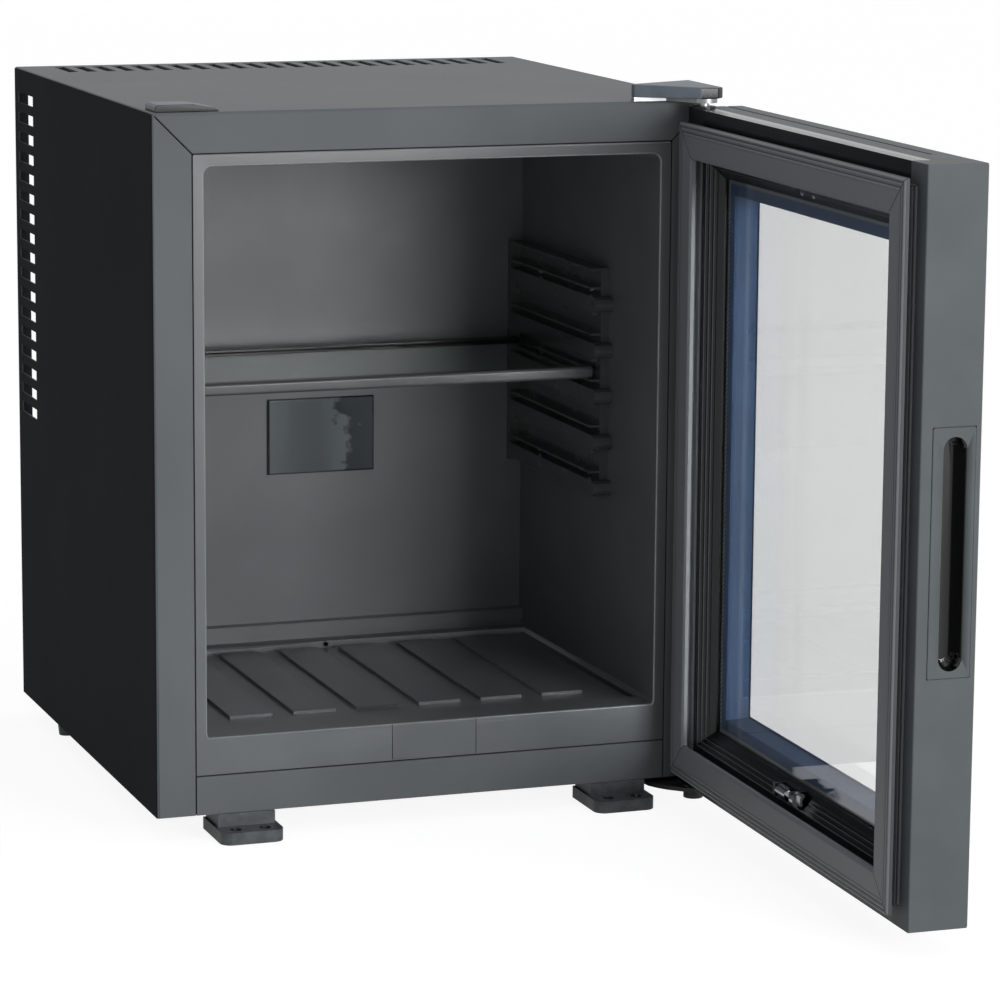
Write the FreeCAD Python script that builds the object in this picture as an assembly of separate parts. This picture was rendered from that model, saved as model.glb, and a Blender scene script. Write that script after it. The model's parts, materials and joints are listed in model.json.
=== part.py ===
# Glass-door minibar fridge with a silent absorption cooling unit.
# Sizes are in millimetres. The origin is the middle of the cabinet's footprint,
# on the surface that the fridge stands on. Z is up, the door is on the -Y side
# and its hinge is on the +X side. The door is exported standing open.

import FreeCAD, Part
import math
import os

from FreeCAD import Rotation, Vector

# Cabinet
cabinet_width = 400.0
cabinet_depth = 400.0
shell_height = 482.5
foot_height = 17.5
sheet = 1.0
bend_radius = 2.0
front_flange = 27.3
rear_flange = 10.0
joint_gap = 1.0
fit_gap = 0.4
mitre_slit = 0.8

# Vent slots punched in both sides and the top, beside the rear edge
slot_length = 47.0
slot_height = 7.6
slot_pitch = 14.67
slot_rear_margin = 11.0
side_slot_count = 17
side_slot_drop = 21.7
top_slot_count = 24
top_slot_margin = 27.5
base_slot_count = 5
base_slot_step = 5

# Base pan
pan_front_height = 27.0
pan_rear_height = 12.0

# Liner: the moulded tub that is the cold compartment
liner_wall = 2.0
cavity_side_wall = 36.0
cavity_side_taper = 4.0
cavity_top_wall = 36.5
cavity_roof_taper = 2.3
cavity_floor = 52.0
cavity_rear_wall = 131.0
cavity_corner = 6.0
lip_height = 2.3
lip_depth = 25.0
floor_panel_count = 6
floor_panel_width = 31.0
floor_panel_side = 32.25
floor_panel_height = 2.0
floor_panel_start = 57.0
floor_panel_rear = 19.0
sill_depth = 13.0
sill_height = 5.0
sill_step = 7.0
sill_band_bottom = 9.4
sill_band_top = 18.7
sill_hook = 3.0
sill_slope = 1.0
threshold_width = 61.5
threshold_height = 18.0
threshold_proud = 1.2

# Insulation and rear panel
rear_foam = 36.0
panel_sheet = 0.8

# Cold plate on the back wall, and the block behind it
plate_width = 83.0
plate_height = 57.0
plate_thickness = 3.0
plate_chamfer = 1.0
plate_bottom = 184.5
block_margin = 8.0

# Shelf rails on the side walls
rail_units = 5
rail_pitch = 33.5
rail_lowest_nose = 195.2
rail_proud = 15.3
rail_plate_proud = 7.5
rail_nose_height = 11.0
rail_nose_front = 82.0
nose_sides = 12
rail_plate_front = 92.0
rail_recess = 5.0
rail_ledge = 1.5
rail_channel = 11.7
rail_keeper_proud = 11.5
rail_keeper_setback = 8.0
rail_post_depth = 6.0
rail_top_cap = 1.5
rail_top_margin = 25.5
rail_bottom_margin = 2.5
rail_screw_rows = (0, 4)
rail_screw_length = 6.0
rail_screw_front = 18.0
rail_screw_rear = 54.0

# Shelf
shelf_side_gap = 4.0
shelf_front = 97.0
shelf_rear_gap = 7.5
shelf_unit = 2
shelf_glass = 4.0
shelf_trim_height = 8.5
shelf_trim_depth = 10.0
shelf_trim_grip = 7.0
shelf_trim_slope = 1.2
shelf_trim_edge = 1.5
shelf_glass_inset = 1.0
shelf_rest_gap = 0.2

# Screws
screw_radius = 1.6
screw_head_radius = 2.3
screw_head_height = 1.5
screw_length = 9.0
screw_sides = 6
screw_head_sides = 8
small_sides = 10
round_sides = 20

# Door, measured from its closed place
door_side_margin = 0.5
door_top_drop = 3.9
door_bottom = -1.2
door_thickness = 41.0
door_gap = 11.0
door_open_angle = 88.9
frame_face = 24.0
frame_split = 13.0
frame_edge = 1.0
frame_groove = 2.0
groove_start = 27.0
groove_end = 29.0
groove_stop = 56.0
lip_margin = 45.0
lip_setback = 10.0
lip_flat = 33.0
lip_break = 2.0
lip_break_depth = 1.5
lip_thickness = 2.0
outer_pane = 4.0
outer_pane_setback = 33.0
outer_pane_margin = 9.0
bezel_margin = 12.0
inner_pane = 3.0
inner_pane_margin = 38.4
spacer_margin = 49.0
spacer_width = 7.0
mitre_reach = 90.0
wedge_margin = 5.0

# Gasket
gasket_margin = 9.0
gasket_width = 24.0
gasket_proud = 10.6
gasket_root = 5.0
gasket_waist = 8.0
gasket_inner_waist = 9.0
gasket_inner_swell = 6.0
bellows_levels = (1.4, 2.4, 4.0, 5.6)
gasket_head = 3.8
gasket_outer_head = 3.2
gasket_head_edge = 1.2
gasket_head_slope = 2.0
gasket_outer_slope = 1.5
magnet_cover = 6.9
magnet_width = 10.0
magnet_thickness = 2.4

# Pull handle set in the door's free edge
handle_bottom = 160.0
handle_height = 157.5
handle_plate_start = 8.0
handle_plate_end = 37.0
handle_plate = 1.6
handle_proud = 0.5
handle_corner = 1.0
pull_start = 15.3
pull_width = 15.8
pull_bottom = 164.6
pull_height = 146.8
pull_depth = 13.0
pull_wall = 1.6
pull_blend = 5.0

# Hinges
pivot_edge = 11.05
pivot_inner = 7.05
pin_radius = 3.5
pin_head_radius = 5.0
pin_head = 1.2
pin_clearance = 0.05
pin_engagement = 12.0
bush_wall = 1.8
bush_sides = 8
bush_flange = 8.0
bush_flange_height = 1.4
hinge_plate = 3.0
hinge_screw_length = 14.0
hinge_arm_radius = 9.0
hinge_reach = 44.95
hinge_knee = 24.0
hinge_toe = 5.4
hinge_right_margin = 3.0
hinge_rear = 39.3
hinge_seat_places = ((-27.0, 7.0), (-0.5, 10.0), (-0.5, 24.0))
cover_left_height = 8.8
cover_right_height = 7.5
cover_wall = 1.6
cover_nose = 26.0
cover_nose_side = 6.0
cover_front_gap = 0.3
cover_toe = 5.5
cover_rear = 42.0
cover_corner = 5.0
cover_side_proud = 1.0
lower_plate_reach = 23.45
lower_plate_toe = 12.0
lower_plate_right = 8.0
lower_plate_flare = 4.0
lower_plate_curve = ((1.0, 2.0), (5.0, -6.0), (10.0, -13.0))
lower_plate_tip = ((-8.0, 3.0), (-4.0, 0.0), (0.0, -1.0), (4.0, 0.0), (8.0, 3.0))
lower_plate_rear = 46.0
lower_step = 3.2
lower_boss_radius = 7.0
lower_boss_height = 5.0
lower_seat_places = ((6.0, 22.0), (22.0, 22.0), (14.0, 38.0))

# Cap over the spare hinge holes, top left
cap_width = 44.0
cap_depth = 26.0
cap_height = 5.0
cap_side_gap = 4.0
cap_front_gap = 5.0
cap_bevel_width = 2.0
cap_bevel_height = 1.5
cap_flat_length = 26.4
cap_tail_length = 3.0
cap_tail_height = 2.2
cap_edge_height = 0.8

# Feet
front_foot_width = 45.0
front_foot_inset = 63.0
front_foot_front = 21.0
front_foot_depth = 50.0
front_foot_plate = 8.6
front_foot_corner = 8.0
front_block_setback = 19.0
front_block_width = 41.0
foot_hole_spacing = 21.0
foot_hole_radius = 2.6
foot_hole_setback = 9.5
foot_screw_setback = 12.0
foot_screw_depth = 9.0
foot_screw_length = 16.0
rear_foot_side = 16.0
rear_foot_rear = 75.0
rear_foot_top = 8.0
rear_foot_bottom = 6.0

# Lock on the door's lower inner edge
lock_height = 39.9
lock_barrel_radius = 4.2
lock_barrel_length = 16.0
lock_disc_radius = 5.2
lock_disc_length = 5.0
lock_shaft_radius = 2.5
lock_gap = 3.0
lock_base_depth = 4.0
lock_base_length = 30.0
lock_base_width = 9.0
lock_setback = 0.5

# Small screws at the door's upper inner edge
door_screw_spacing = 19.5
door_screw_margin = 39.3
door_screw_depth = 2.0
door_screw_length = 4.5

# Cooling unit behind the insulation
tube_radius = 7.0
bend_count = 3
tube_sides = 12
unit_standoff = 40.0
boiler_side = 82.0
boiler_radius = 30.0
boiler_bottom = 62.0
boiler_height = 190.0
boiler_sheet = 1.0
condenser_drop = 44.5
condenser_side = 72.0
condenser_fall = 6.0
condenser_bend = 22.0
boiler_tail = 10.0
heater_radius = 5.0
heater_length = 120.0
heater_gap = 1.0
fin_count = 10
fin_margin = 67.0
fin_width = 38.0
fin_height = 46.0
fin_sheet = 1.0
vessel_radius = 22.0
vessel_dish = 7.0
vessel_tray_gap = 5.0
vessel_side = 33.0
vessel_height = 46.0
liquid_pipe_drop = 8.0
coil_side = 50.0
coil_right = -20.0
coil_pitch = 34.0
coil_runs = 3
coil_rise = 6.0
coil_end = -5.0
coil_first = 92.0
evaporator_radius = 5.0
evaporator_bend = 9.5
evaporator_spread = 22.0
evaporator_reach = 12.0
strap_width = 18.0
strap_sheet = 1.5
strap_ear = 18.0
strap_bevel = 0.58
lower_strap_height = 165.0
upper_strap_drop = 38.0
control_width = 60.0
control_height = 70.0
control_depth = 36.0
control_side = 94.0
control_bottom = 78.0
control_wall = 2.0
control_chamfer = 2.0
gland_radius = 8.0
gland_bore = 4.0
gland_length = 9.0
terminal_inset = 8.0
terminal_drop = 35.0
terminal_depth = 18.0
tray_width = 90.0
tray_depth = 28.0
tray_height = 16.0
tray_wall = 1.6
tray_corner = 4.0
tray_left = -12.0
tray_bottom = 24.0
drain_radius = 2.4
drain_bore = 1.6
drain_height = 54.6
drain_overhang = 16.0

# Places worked out from the sizes above
front = -cabinet_depth / 2
back = cabinet_depth / 2
base = foot_height
top = base + shell_height
half_width = cabinet_width / 2
flange_inner = half_width - front_flange
flange_top = shell_height - front_flange
liner_half = flange_inner - joint_gap
liner_top = flange_top - joint_gap
liner_bottom = pan_front_height + joint_gap
top_slot_pitch = (cabinet_width - 2 * top_slot_margin - slot_height) / (top_slot_count - 1)
cavity_half_width = half_width - cavity_side_wall
cavity_roof = shell_height - cavity_top_wall
cavity_depth = cabinet_depth - cavity_rear_wall
insulation_back = cavity_depth + rear_foam
unit_plane = insulation_back + unit_standoff
rail_inner = cavity_half_width - rail_proud
rail_plate_inner = cavity_half_width - rail_plate_proud
shelf_half_width = rail_plate_inner - shelf_side_gap
shelf_back = cavity_depth - shelf_rear_gap
hinge_edge = half_width - door_side_margin
pivot_x = hinge_edge - pivot_edge
inner_face = front - door_gap
pivot_y = inner_face - pivot_inner
door_top = top - door_top_drop
door_base = base + door_bottom
hinge_left = pivot_x - hinge_reach
lower_plate_left = pivot_x - lower_plate_reach
front_foot_centre = half_width - front_foot_inset
block_width = plate_width - 2 * block_margin
block_height = plate_height - 2 * block_margin
bush_radius = pin_radius + pin_clearance + bush_wall
boiler_x = half_width - boiler_side
condenser_left = condenser_side - half_width
condenser_height = shell_height - condenser_drop
coil_left = coil_side - half_width
vessel_left = vessel_side - half_width
vessel_right = tray_left - vessel_tray_gap
control_left = boiler_x - control_side


def block(x0, x1, y0, y1, z0, z1):
    """A box between two corners."""
    return Part.makeBox(x1 - x0, y1 - y0, z1 - z0, Vector(x0, y0, z0))


def rod(radius, start, end):
    """A round bar from one point to another."""
    axis = end - start
    return Part.makeCylinder(radius, axis.Length, start, axis)


def prism(points, direction):
    """A flat outline swept along a straight direction."""
    closed = points + points[:1]
    return Part.Face(Part.makePolygon(closed)).extrude(direction)


def slot_face(length, width, corner):
    """A rectangle with rounded corners, centred in the XY plane."""
    a = length / 2
    b = width / 2
    k = corner * (1 - math.sqrt(0.5))
    edges = [
        Part.LineSegment(Vector(corner - a, -b, 0), Vector(a - corner, -b, 0)),
        Part.Arc(Vector(a - corner, -b, 0), Vector(a - k, k - b, 0), Vector(a, corner - b, 0)),
        Part.Arc(Vector(a, b - corner, 0), Vector(a - k, b - k, 0), Vector(a - corner, b, 0)),
        Part.LineSegment(Vector(a - corner, b, 0), Vector(corner - a, b, 0)),
        Part.Arc(Vector(corner - a, b, 0), Vector(k - a, b - k, 0), Vector(-a, b - corner, 0)),
        Part.Arc(Vector(-a, corner - b, 0), Vector(k - a, k - b, 0), Vector(corner - a, -b, 0)),
    ]
    if width - 2 * corner > 1e-6:
        edges.append(Part.LineSegment(Vector(a, corner - b, 0), Vector(a, b - corner, 0)))
        edges.append(Part.LineSegment(Vector(-a, b - corner, 0), Vector(-a, corner - b, 0)))
    sorted_edges = Part.__sortEdges__([edge.toShape() for edge in edges])
    return Part.Face(Part.Wire(sorted_edges))


def rounded_edges(shape, radius, keep):
    """Fillet the edges for which keep(edge) is true."""
    return shape.makeFillet(radius, [edge for edge in shape.Edges if keep(edge)])


def pipe(points, bend, radius):
    """A bar along straight runs; each bend is a few short mitred lengths."""
    route = [points[0]]
    for before, corner, after in zip(points, points[1:], points[2:]):
        back_dir = (before - corner).normalize()
        on_dir = (after - corner).normalize()
        half_turn = back_dir.getAngle(on_dir) / 2
        enter = corner + back_dir * (bend / math.tan(half_turn))
        centre = corner + (back_dir + on_dir).normalize() * (bend / math.sin(half_turn))
        step = (math.pi - 2 * half_turn) / bend_count
        reach = bend / math.cos(step / 2)
        for n in range(bend_count):
            turn = Rotation(on_dir.cross(back_dir), math.degrees(step * (n + 0.5)))
            route.append(centre + turn.multVec(enter - centre).normalize() * reach)
    route.append(points[-1])
    section = many_sided(tube_sides, radius, route[0], route[1]).Faces
    foot = [face for face in section if (face.CenterOfMass - route[0]).Length < radius / 2]
    return Part.makePolygon(route).makePipeShell([foot[0].OuterWire], True, False, 1)


def many_sided(sides, radius, start, end):
    """A straight bar with a regular outline, for the small pieces that repeat."""
    axis = end - start
    sideways = Vector(0, 0, 1) if abs(axis.z) < abs(axis.x) + abs(axis.y) else Vector(1, 0, 0)
    across = axis.cross(sideways).normalize() * radius
    up = across.cross(axis).normalize() * radius
    turns = [2 * math.pi * (n + 0.5) / sides for n in range(sides)]
    return prism([start + across * math.cos(turn) + up * math.sin(turn) for turn in turns], axis)


def tapered(first, last, start, end):
    """A straight bar with a regular outline that goes from one radius to another."""
    outlines = []
    for radius, point in ((first, start), (last, end)):
        slice_ = many_sided(round_sides, radius, point, point + (end - start))
        faces = [face for face in slice_.Faces if (face.CenterOfMass - point).Length < radius / 2]
        outlines.append(faces[0].OuterWire)
    return Part.makeLoft(outlines, True, True)


def punched_slot(length, width, depth):
    """The tool of a vent slot."""
    return block(-length / 2, length / 2, -width / 2, width / 2, 0, depth)


def screw(seat, inward, length=screw_length):
    """A pan-head screw whose head rests on the seat point."""
    shank = many_sided(screw_sides, screw_radius, seat, seat + inward * length)
    head = many_sided(screw_head_sides, screw_head_radius, seat - inward * screw_head_height, seat)
    return shank.fuse(head)


def pilot(seat, inward, length=screw_length):
    """The hole that a screw's shank fills."""
    return many_sided(screw_sides, screw_radius, seat - inward, seat + inward * length)


# Cabinet

def outer_shell():
    """One sheet folded over both sides and the top, with front and rear flanges."""
    def at_a_bend(edge):
        box = edge.BoundBox
        return box.YMin < back - 1 and (box.ZLength > 1 or box.ZMin > base + 1)

    outside = block(-half_width, half_width, front, back, base, top)
    outside = rounded_edges(outside, bend_radius, at_a_bend)
    inner_x = half_width - sheet
    shell = outside.cut(block(-inner_x, inner_x, front + sheet, back - sheet, base, top - sheet))
    front_hole = block(-flange_inner, flange_inner, front - 1, front + bend_radius, base - 1, base + flange_top)
    rear_half = half_width - rear_flange
    rear_hole = block(-rear_half, rear_half, back - bend_radius, back + 1, base - 1, top - rear_flange)
    holes = mitre_slits() + side_slots() + top_slots() + top_hinge_pilots()
    return shell.cut([front_hole, rear_hole] + holes)


def mitre_slits():
    """The 45 degree seams where the front flanges meet at the top corners."""
    slits = []
    reach = front_flange - bend_radius
    for side in (-1, 1):
        corner = Vector(side * flange_inner, front - 1, base + flange_top)
        along = Vector(side, 0, 1)
        start = corner - along * bend_radius
        tip = corner + along * reach
        across = Vector(side * mitre_slit / 2, 0, -mitre_slit / 2)
        outline = [start - across, tip - across, tip + across, start + across]
        slits.append(prism(outline, Vector(0, 1 + bend_radius, 0)))
    return slits


def side_slots():
    """Vent slots through both side walls."""
    tool = punched_slot(slot_length, slot_height, cabinet_width + 2)
    centre_y = back - slot_rear_margin - slot_length / 2
    tool.rotate(Vector(0, 0, 0), Vector(0, 0, 1), 90)
    tool.rotate(Vector(0, 0, 0), Vector(0, 1, 0), 90)
    first = top - side_slot_drop
    return [place_from(tool, Vector(-half_width - 1, centre_y, first - n * slot_pitch))
            for n in range(side_slot_count)]


def place_from(shape, offset):
    """A copy moved by an offset."""
    moved = shape.copy()
    moved.translate(offset)
    return moved


def vent_row(count, pitch, z):
    """A row of slots across the rear of a flat sheet."""
    tool = punched_slot(slot_height, slot_length, 3 * sheet)
    centre_y = back - slot_rear_margin - slot_length / 2
    first = -pitch * (count - 1) / 2
    return [place_from(tool, Vector(first + n * pitch, centre_y, z - sheet)) for n in range(count)]


def top_slots():
    """Vent slots through the top, beside its rear edge."""
    return vent_row(top_slot_count, top_slot_pitch, top - sheet)


def base_pan():
    """The floor sheet, turned up at the front and the rear."""
    reach = half_width - sheet - fit_gap
    floor = block(-reach, reach, front + sheet + fit_gap, back - sheet - fit_gap, base, base + sheet)
    half_front = flange_inner - joint_gap
    front_wall = block(-half_front, half_front, front, front + sheet, base, base + pan_front_height)
    half_rear = half_width - rear_flange - joint_gap
    tongue = block(-half_front, half_front, front, front + 2 * sheet, base, base + sheet)
    heel = block(-half_rear, half_rear, back - 2 * sheet, back, base, base + sheet)
    rear_wall = block(-half_rear, half_rear, back - sheet, back, base, base + pan_rear_height)
    pan = floor.fuse([front_wall, tongue, heel, rear_wall])
    vents = vent_row(base_slot_count, base_slot_step * top_slot_pitch, base)
    return pan.cut(vents + lower_hinge_pilots() + front_foot_pilots()).removeSplitter()


def tapered_tub(grow):
    """The tapered form of the cold compartment, grown by a wall, with rounded long edges."""
    def corners(y, half, roof):
        low = base + cavity_floor - grow
        high = base + roof + grow
        wide = half + grow
        return [Vector(-wide, y, low), Vector(wide, y, low), Vector(wide, y, high), Vector(-wide, y, high)]

    near = corners(front, cavity_half_width, cavity_roof)
    far = corners(front + cavity_depth + grow, cavity_half_width - cavity_side_taper, cavity_roof - cavity_roof_taper)
    outlines = [near, far]
    for n in range(4):
        m = (n + 1) % 4
        outlines.append([near[n], near[m], far[m], far[n]])
    faces = [Part.Face(Part.makePolygon(outline + outline[:1])) for outline in outlines]
    tub = Part.Solid(Part.Shell(faces))
    return rounded_edges(tub, cavity_corner + grow, lambda edge: edge.BoundBox.YLength > cavity_depth / 2)


def cavity():
    """The hollow inside the liner."""
    return tapered_tub(0)


def liner_envelope():
    """The outside of the liner tub."""
    return tapered_tub(liner_wall)


def liner():
    """The vacuum-formed tub with its front flange, lip, floor panels and rear sill."""
    flange = block(-liner_half, liner_half, front, front + liner_wall, base + liner_bottom, base + liner_top)
    tub = liner_envelope().fuse(flange).cut(cavity())
    floor = base + cavity_floor
    half = cavity_half_width + liner_wall
    lip = block(-half, half, front, front + lip_depth, floor - liner_wall, floor + lip_height)
    raised = [lip]
    floor_span = 2 * (cavity_half_width - floor_panel_side) - floor_panel_width
    for n in range(floor_panel_count):
        centre = (n / (floor_panel_count - 1) - 0.5) * floor_span
        panel = block(centre - floor_panel_width / 2, centre + floor_panel_width / 2,
                      front + floor_panel_start, front + cavity_depth - floor_panel_rear,
                      floor - liner_wall, floor + floor_panel_height)
        raised.append(panel)
    sill_y = front + cavity_depth - sill_depth
    step_y = front + cavity_depth - sill_step
    rear_y = front + cavity_depth + liner_wall
    sill = [
        Vector(-half, sill_y, floor - liner_wall),
        Vector(-half, sill_y, floor + sill_height),
        Vector(-half, step_y + sill_hook, floor + sill_height + sill_slope),
        Vector(-half, step_y + sill_hook, floor + sill_band_bottom),
        Vector(-half, step_y, floor + sill_band_bottom),
        Vector(-half, step_y, floor + sill_band_top),
        Vector(-half, rear_y, floor + sill_band_top + sill_slope),
        Vector(-half, rear_y, floor - liner_wall),
    ]
    raised.append(prism(sill, Vector(2 * half, 0, 0)))
    envelope = liner_envelope()
    tub = tub.fuse([piece.common(envelope) for piece in raised])
    return tub.cut([block_window(), drain_hole(), threshold_pocket()] + rail_pilots()).removeSplitter()


def threshold_pocket():
    """The recess in the lower flange that takes the threshold cover."""
    half = threshold_width / 2
    middle = base + (liner_bottom + cavity_floor) / 2
    return block(-half, half, front - 1, front + liner_wall / 2, middle - threshold_height / 2,
                 middle + threshold_height / 2)


def threshold_cover():
    """The small cover in the middle of the lower flange, under the door's lock."""
    half = threshold_width / 2 - fit_gap / 2
    tall = threshold_height / 2 - fit_gap / 2
    middle = base + (liner_bottom + cavity_floor) / 2
    cover = block(-half, half, front - threshold_proud, front + liner_wall / 2, middle - tall, middle + tall)
    return cover.makeChamfer(threshold_proud / 2, [edge for edge in cover.Edges if edge.BoundBox.YMax < front - 0.1])


def insulation():
    """Foam that fills the space between the liner, the shell and the rear panel."""
    reach = half_width - sheet
    mass = block(-reach, reach, front + sheet, front + insulation_back, base + sheet, top - sheet)
    front_band = block(-liner_half - joint_gap, liner_half + joint_gap, front, front + liner_wall,
                       base, base + liner_top + joint_gap)
    holes = [liner_envelope(), front_band, block_window(), drain_hole(), pan_edge_band()]
    screws = strap_pilots() + top_hinge_pilots() + lower_hinge_pilots() + front_foot_pilots()
    return mass.cut(holes + screws)


def pan_edge_band():
    """Room for the pan's floor sheet under the foam."""
    return block(-half_width, half_width, front - 1, back + 1, base - 1, base + sheet)


def rear_panel():
    """The thin sheet that closes the back of the foam."""
    reach = half_width - sheet
    y = front + insulation_back
    panel = block(-reach, reach, y, y + panel_sheet, base + sheet, top - sheet)
    return panel.cut([block_window(), drain_hole()] + strap_pilots())


def block_window():
    """The opening that the cold block fills, from the back wall to the rear panel."""
    bottom = base + plate_bottom + block_margin
    return block(-block_width / 2, block_width / 2, front + cavity_depth, front + insulation_back + panel_sheet,
                 bottom, bottom + block_height)


def drain_hole():
    """The hole that the drain tube fills."""
    start = Vector(0, front + cavity_depth - sill_depth - 1, base + drain_height)
    end = Vector(0, front + insulation_back + panel_sheet + 1, base + drain_height)
    return many_sided(small_sides, drain_radius, start, end)


def drain_tube():
    """The tube that takes melt water through the back to the tray."""
    start = Vector(0, front + cavity_depth - sill_depth - 0.6, base + drain_height)
    end = Vector(0, front + insulation_back + panel_sheet + drain_overhang, base + drain_height)
    return many_sided(small_sides, drain_radius, start, end).cut(many_sided(small_sides, drain_bore, start, end))


def drip_tray():
    """The open tray from which the melt water evaporates."""
    y = front + insulation_back + panel_sheet
    z = base + tray_bottom
    right = tray_left + tray_width
    outside = block(tray_left, right, y, y + tray_depth, z, z + tray_height)
    outside = outside.makeChamfer(tray_corner, [edge for edge in outside.Edges
                                                if edge.BoundBox.ZLength > 1 and edge.BoundBox.YMin > y + 1])
    inside = block(tray_left + tray_wall, right - tray_wall, y + tray_wall, y + tray_depth - tray_wall,
                   z + tray_wall, z + tray_height + 1)
    inside = inside.makeChamfer(tray_corner, [edge for edge in inside.Edges
                                              if edge.BoundBox.ZLength > 1 and edge.BoundBox.YMin > y + tray_depth / 2])
    return outside.cut(inside)


def cold_plate():
    """The aluminium plate that cools the compartment, on its back wall."""
    y = front + cavity_depth
    plate = block(-plate_width / 2, plate_width / 2, y - plate_thickness, y,
                  base + plate_bottom, base + plate_bottom + plate_height)
    return plate.makeChamfer(plate_chamfer, [edge for edge in plate.Edges if edge.BoundBox.YMax < y - 1])


def cold_block():
    """The block that carries heat from the cold plate to the evaporator tube."""
    return block_window().cut(evaporator_tube().Solids)


# Shelf rails and shelf

def nose_height(unit):
    """The height of the middle of one rail's nose."""
    return base + rail_lowest_nose + unit * rail_pitch


def shelf_rail(side):
    """A moulded side bracket with five shelf positions, trimmed to the tapered wall."""
    rear = front + cavity_depth
    post = rear - rail_post_depth
    wall = cavity_half_width
    bottom = nose_height(0) - rail_nose_height / 2 - rail_bottom_margin
    roof = nose_height(rail_units - 1) + rail_top_margin
    start = front + rail_plate_front
    pieces = [
        block(rail_plate_inner, wall, start, rear, bottom, roof),
        block(rail_inner, wall, post, rear, bottom, roof),
        block(rail_inner, wall, start, rear, roof - rail_top_cap, roof),
    ]
    for unit in range(rail_units):
        middle = nose_height(unit)
        half = rail_nose_height / 2
        tip = front + rail_nose_front + half
        pieces.append(block(rail_inner, wall, tip, post, middle - half, middle + half))
        pieces.append(many_sided(nose_sides, half, Vector(rail_inner, tip, middle), Vector(wall, tip, middle)))
        ledge_top = middle + half + rail_recess + rail_ledge
        pieces.append(block(rail_inner, wall, start, post, ledge_top - rail_ledge, ledge_top))
        if unit < rail_units - 1:
            keeper = ledge_top + rail_channel
            next_nose = middle + rail_pitch - half
            pieces.append(block(wall - rail_keeper_proud, wall, start + rail_keeper_setback, post, keeper, next_nose))
    rail = pieces[0].fuse(pieces[1:]).common(cavity())
    rail = rail.cut(rail_pilots()).removeSplitter()
    if side < 0:
        rail = rail.mirror(Vector(0, 0, 0), Vector(1, 0, 0))
    return rail


def rail_seats(side):
    """Where the screws of one rail sit, in the recesses behind its noses."""
    rows = [nose_height(unit) + (rail_nose_height + rail_recess) / 2 for unit in rail_screw_rows]
    places = (rail_plate_front + rail_screw_front, cavity_depth - rail_screw_rear)
    return [Vector(side * rail_plate_inner, front + y, z) for z in rows for y in places]


def rail_pilots():
    """Screw holes for both rails."""
    return [pilot(seat, Vector(side, 0, 0), rail_screw_length) for side in (-1, 1) for seat in rail_seats(side)]


def rail_screws():
    """The screws that hold both rails."""
    return [screw(seat, Vector(side, 0, 0), rail_screw_length) for side in (-1, 1) for seat in rail_seats(side)]


def shelf_level():
    """The underside of the shelf on its ledges."""
    return nose_height(shelf_unit) + rail_nose_height / 2 + rail_recess + rail_ledge + shelf_rest_gap


def glass_shelf():
    """The toughened glass plate."""
    z = shelf_level() + (shelf_trim_height - shelf_glass) / 2
    wall = shelf_trim_depth - shelf_trim_grip
    half = shelf_half_width - shelf_glass_inset
    return block(-half, half, front + shelf_front + wall, front + shelf_back - wall, z, z + shelf_glass)


def shelf_trim(y_edge, inward):
    """A channel that covers one long edge of the shelf glass."""
    z = shelf_level()
    tall = shelf_trim_height
    depth = inward * shelf_trim_depth
    body = prism([
        Vector(-shelf_half_width, y_edge + inward * shelf_trim_slope, z),
        Vector(-shelf_half_width, y_edge + depth, z),
        Vector(-shelf_half_width, y_edge + depth, z + tall),
        Vector(-shelf_half_width, y_edge + inward * shelf_trim_slope, z + tall),
        Vector(-shelf_half_width, y_edge, z + tall - shelf_trim_edge),
        Vector(-shelf_half_width, y_edge, z + shelf_trim_edge),
    ], Vector(2 * shelf_half_width, 0, 0))
    return body.cut(glass_shelf())


# Front and rear feet, and the mounting holes under the front ones

def foot_holes(side):
    """Centres of the two fixing holes of one front foot, on the standing plane."""
    y = front - front_foot_front + foot_hole_setback
    return [Vector(side * front_foot_centre + offset, y, 0)
            for offset in (-foot_hole_spacing / 2, foot_hole_spacing / 2)]


def front_foot(side):
    """A moulded foot: a step block under the cabinet and a rounded plate in front of it."""
    centre = side * front_foot_centre
    start = front - front_foot_front
    half = front_foot_width / 2
    plate = block(centre - half, centre + half, start, start + front_foot_depth, 0, front_foot_plate)
    plate = rounded_edges(plate, front_foot_corner,
                          lambda edge: edge.BoundBox.ZLength > 1 and edge.BoundBox.YMax < start + 1)
    block_half = front_block_width / 2
    riser = block(centre - block_half, centre + block_half, start + front_block_setback,
                  start + front_foot_depth, front_foot_plate - 1, base)
    foot = plate.fuse(riser)
    holes = [rod(foot_hole_radius, hole - Vector(0, 0, 1), hole + Vector(0, 0, base)) for hole in foot_holes(side)]
    return foot.cut(holes + front_foot_pilots()).removeSplitter()


def front_foot_seats():
    """Where the screws go up through the front feet into the base."""
    y = front - front_foot_front + front_foot_depth - foot_screw_setback
    return [Vector(side * front_foot_centre, y, base - foot_screw_depth) for side in (-1, 1)]


def front_foot_pilots():
    """Stepped holes in the feet and the base for those screws."""
    up = Vector(0, 0, 1)
    holes = []
    for seat in front_foot_seats():
        holes.append(pilot(seat, up, foot_screw_length))
        holes.append(many_sided(screw_head_sides, screw_head_radius + fit_gap, seat - up * base, seat))
    return holes


def front_foot_screws():
    """One screw through each front foot."""
    return [screw(seat, Vector(0, 0, 1), foot_screw_length) for seat in front_foot_seats()]


def rear_foot(side):
    """A tapered round foot."""
    foot = Vector(side * (half_width - rear_foot_side), back - rear_foot_rear, 0)
    return tapered(rear_foot_bottom, rear_foot_top, foot, foot + Vector(0, 0, base))


# Hinges

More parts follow.
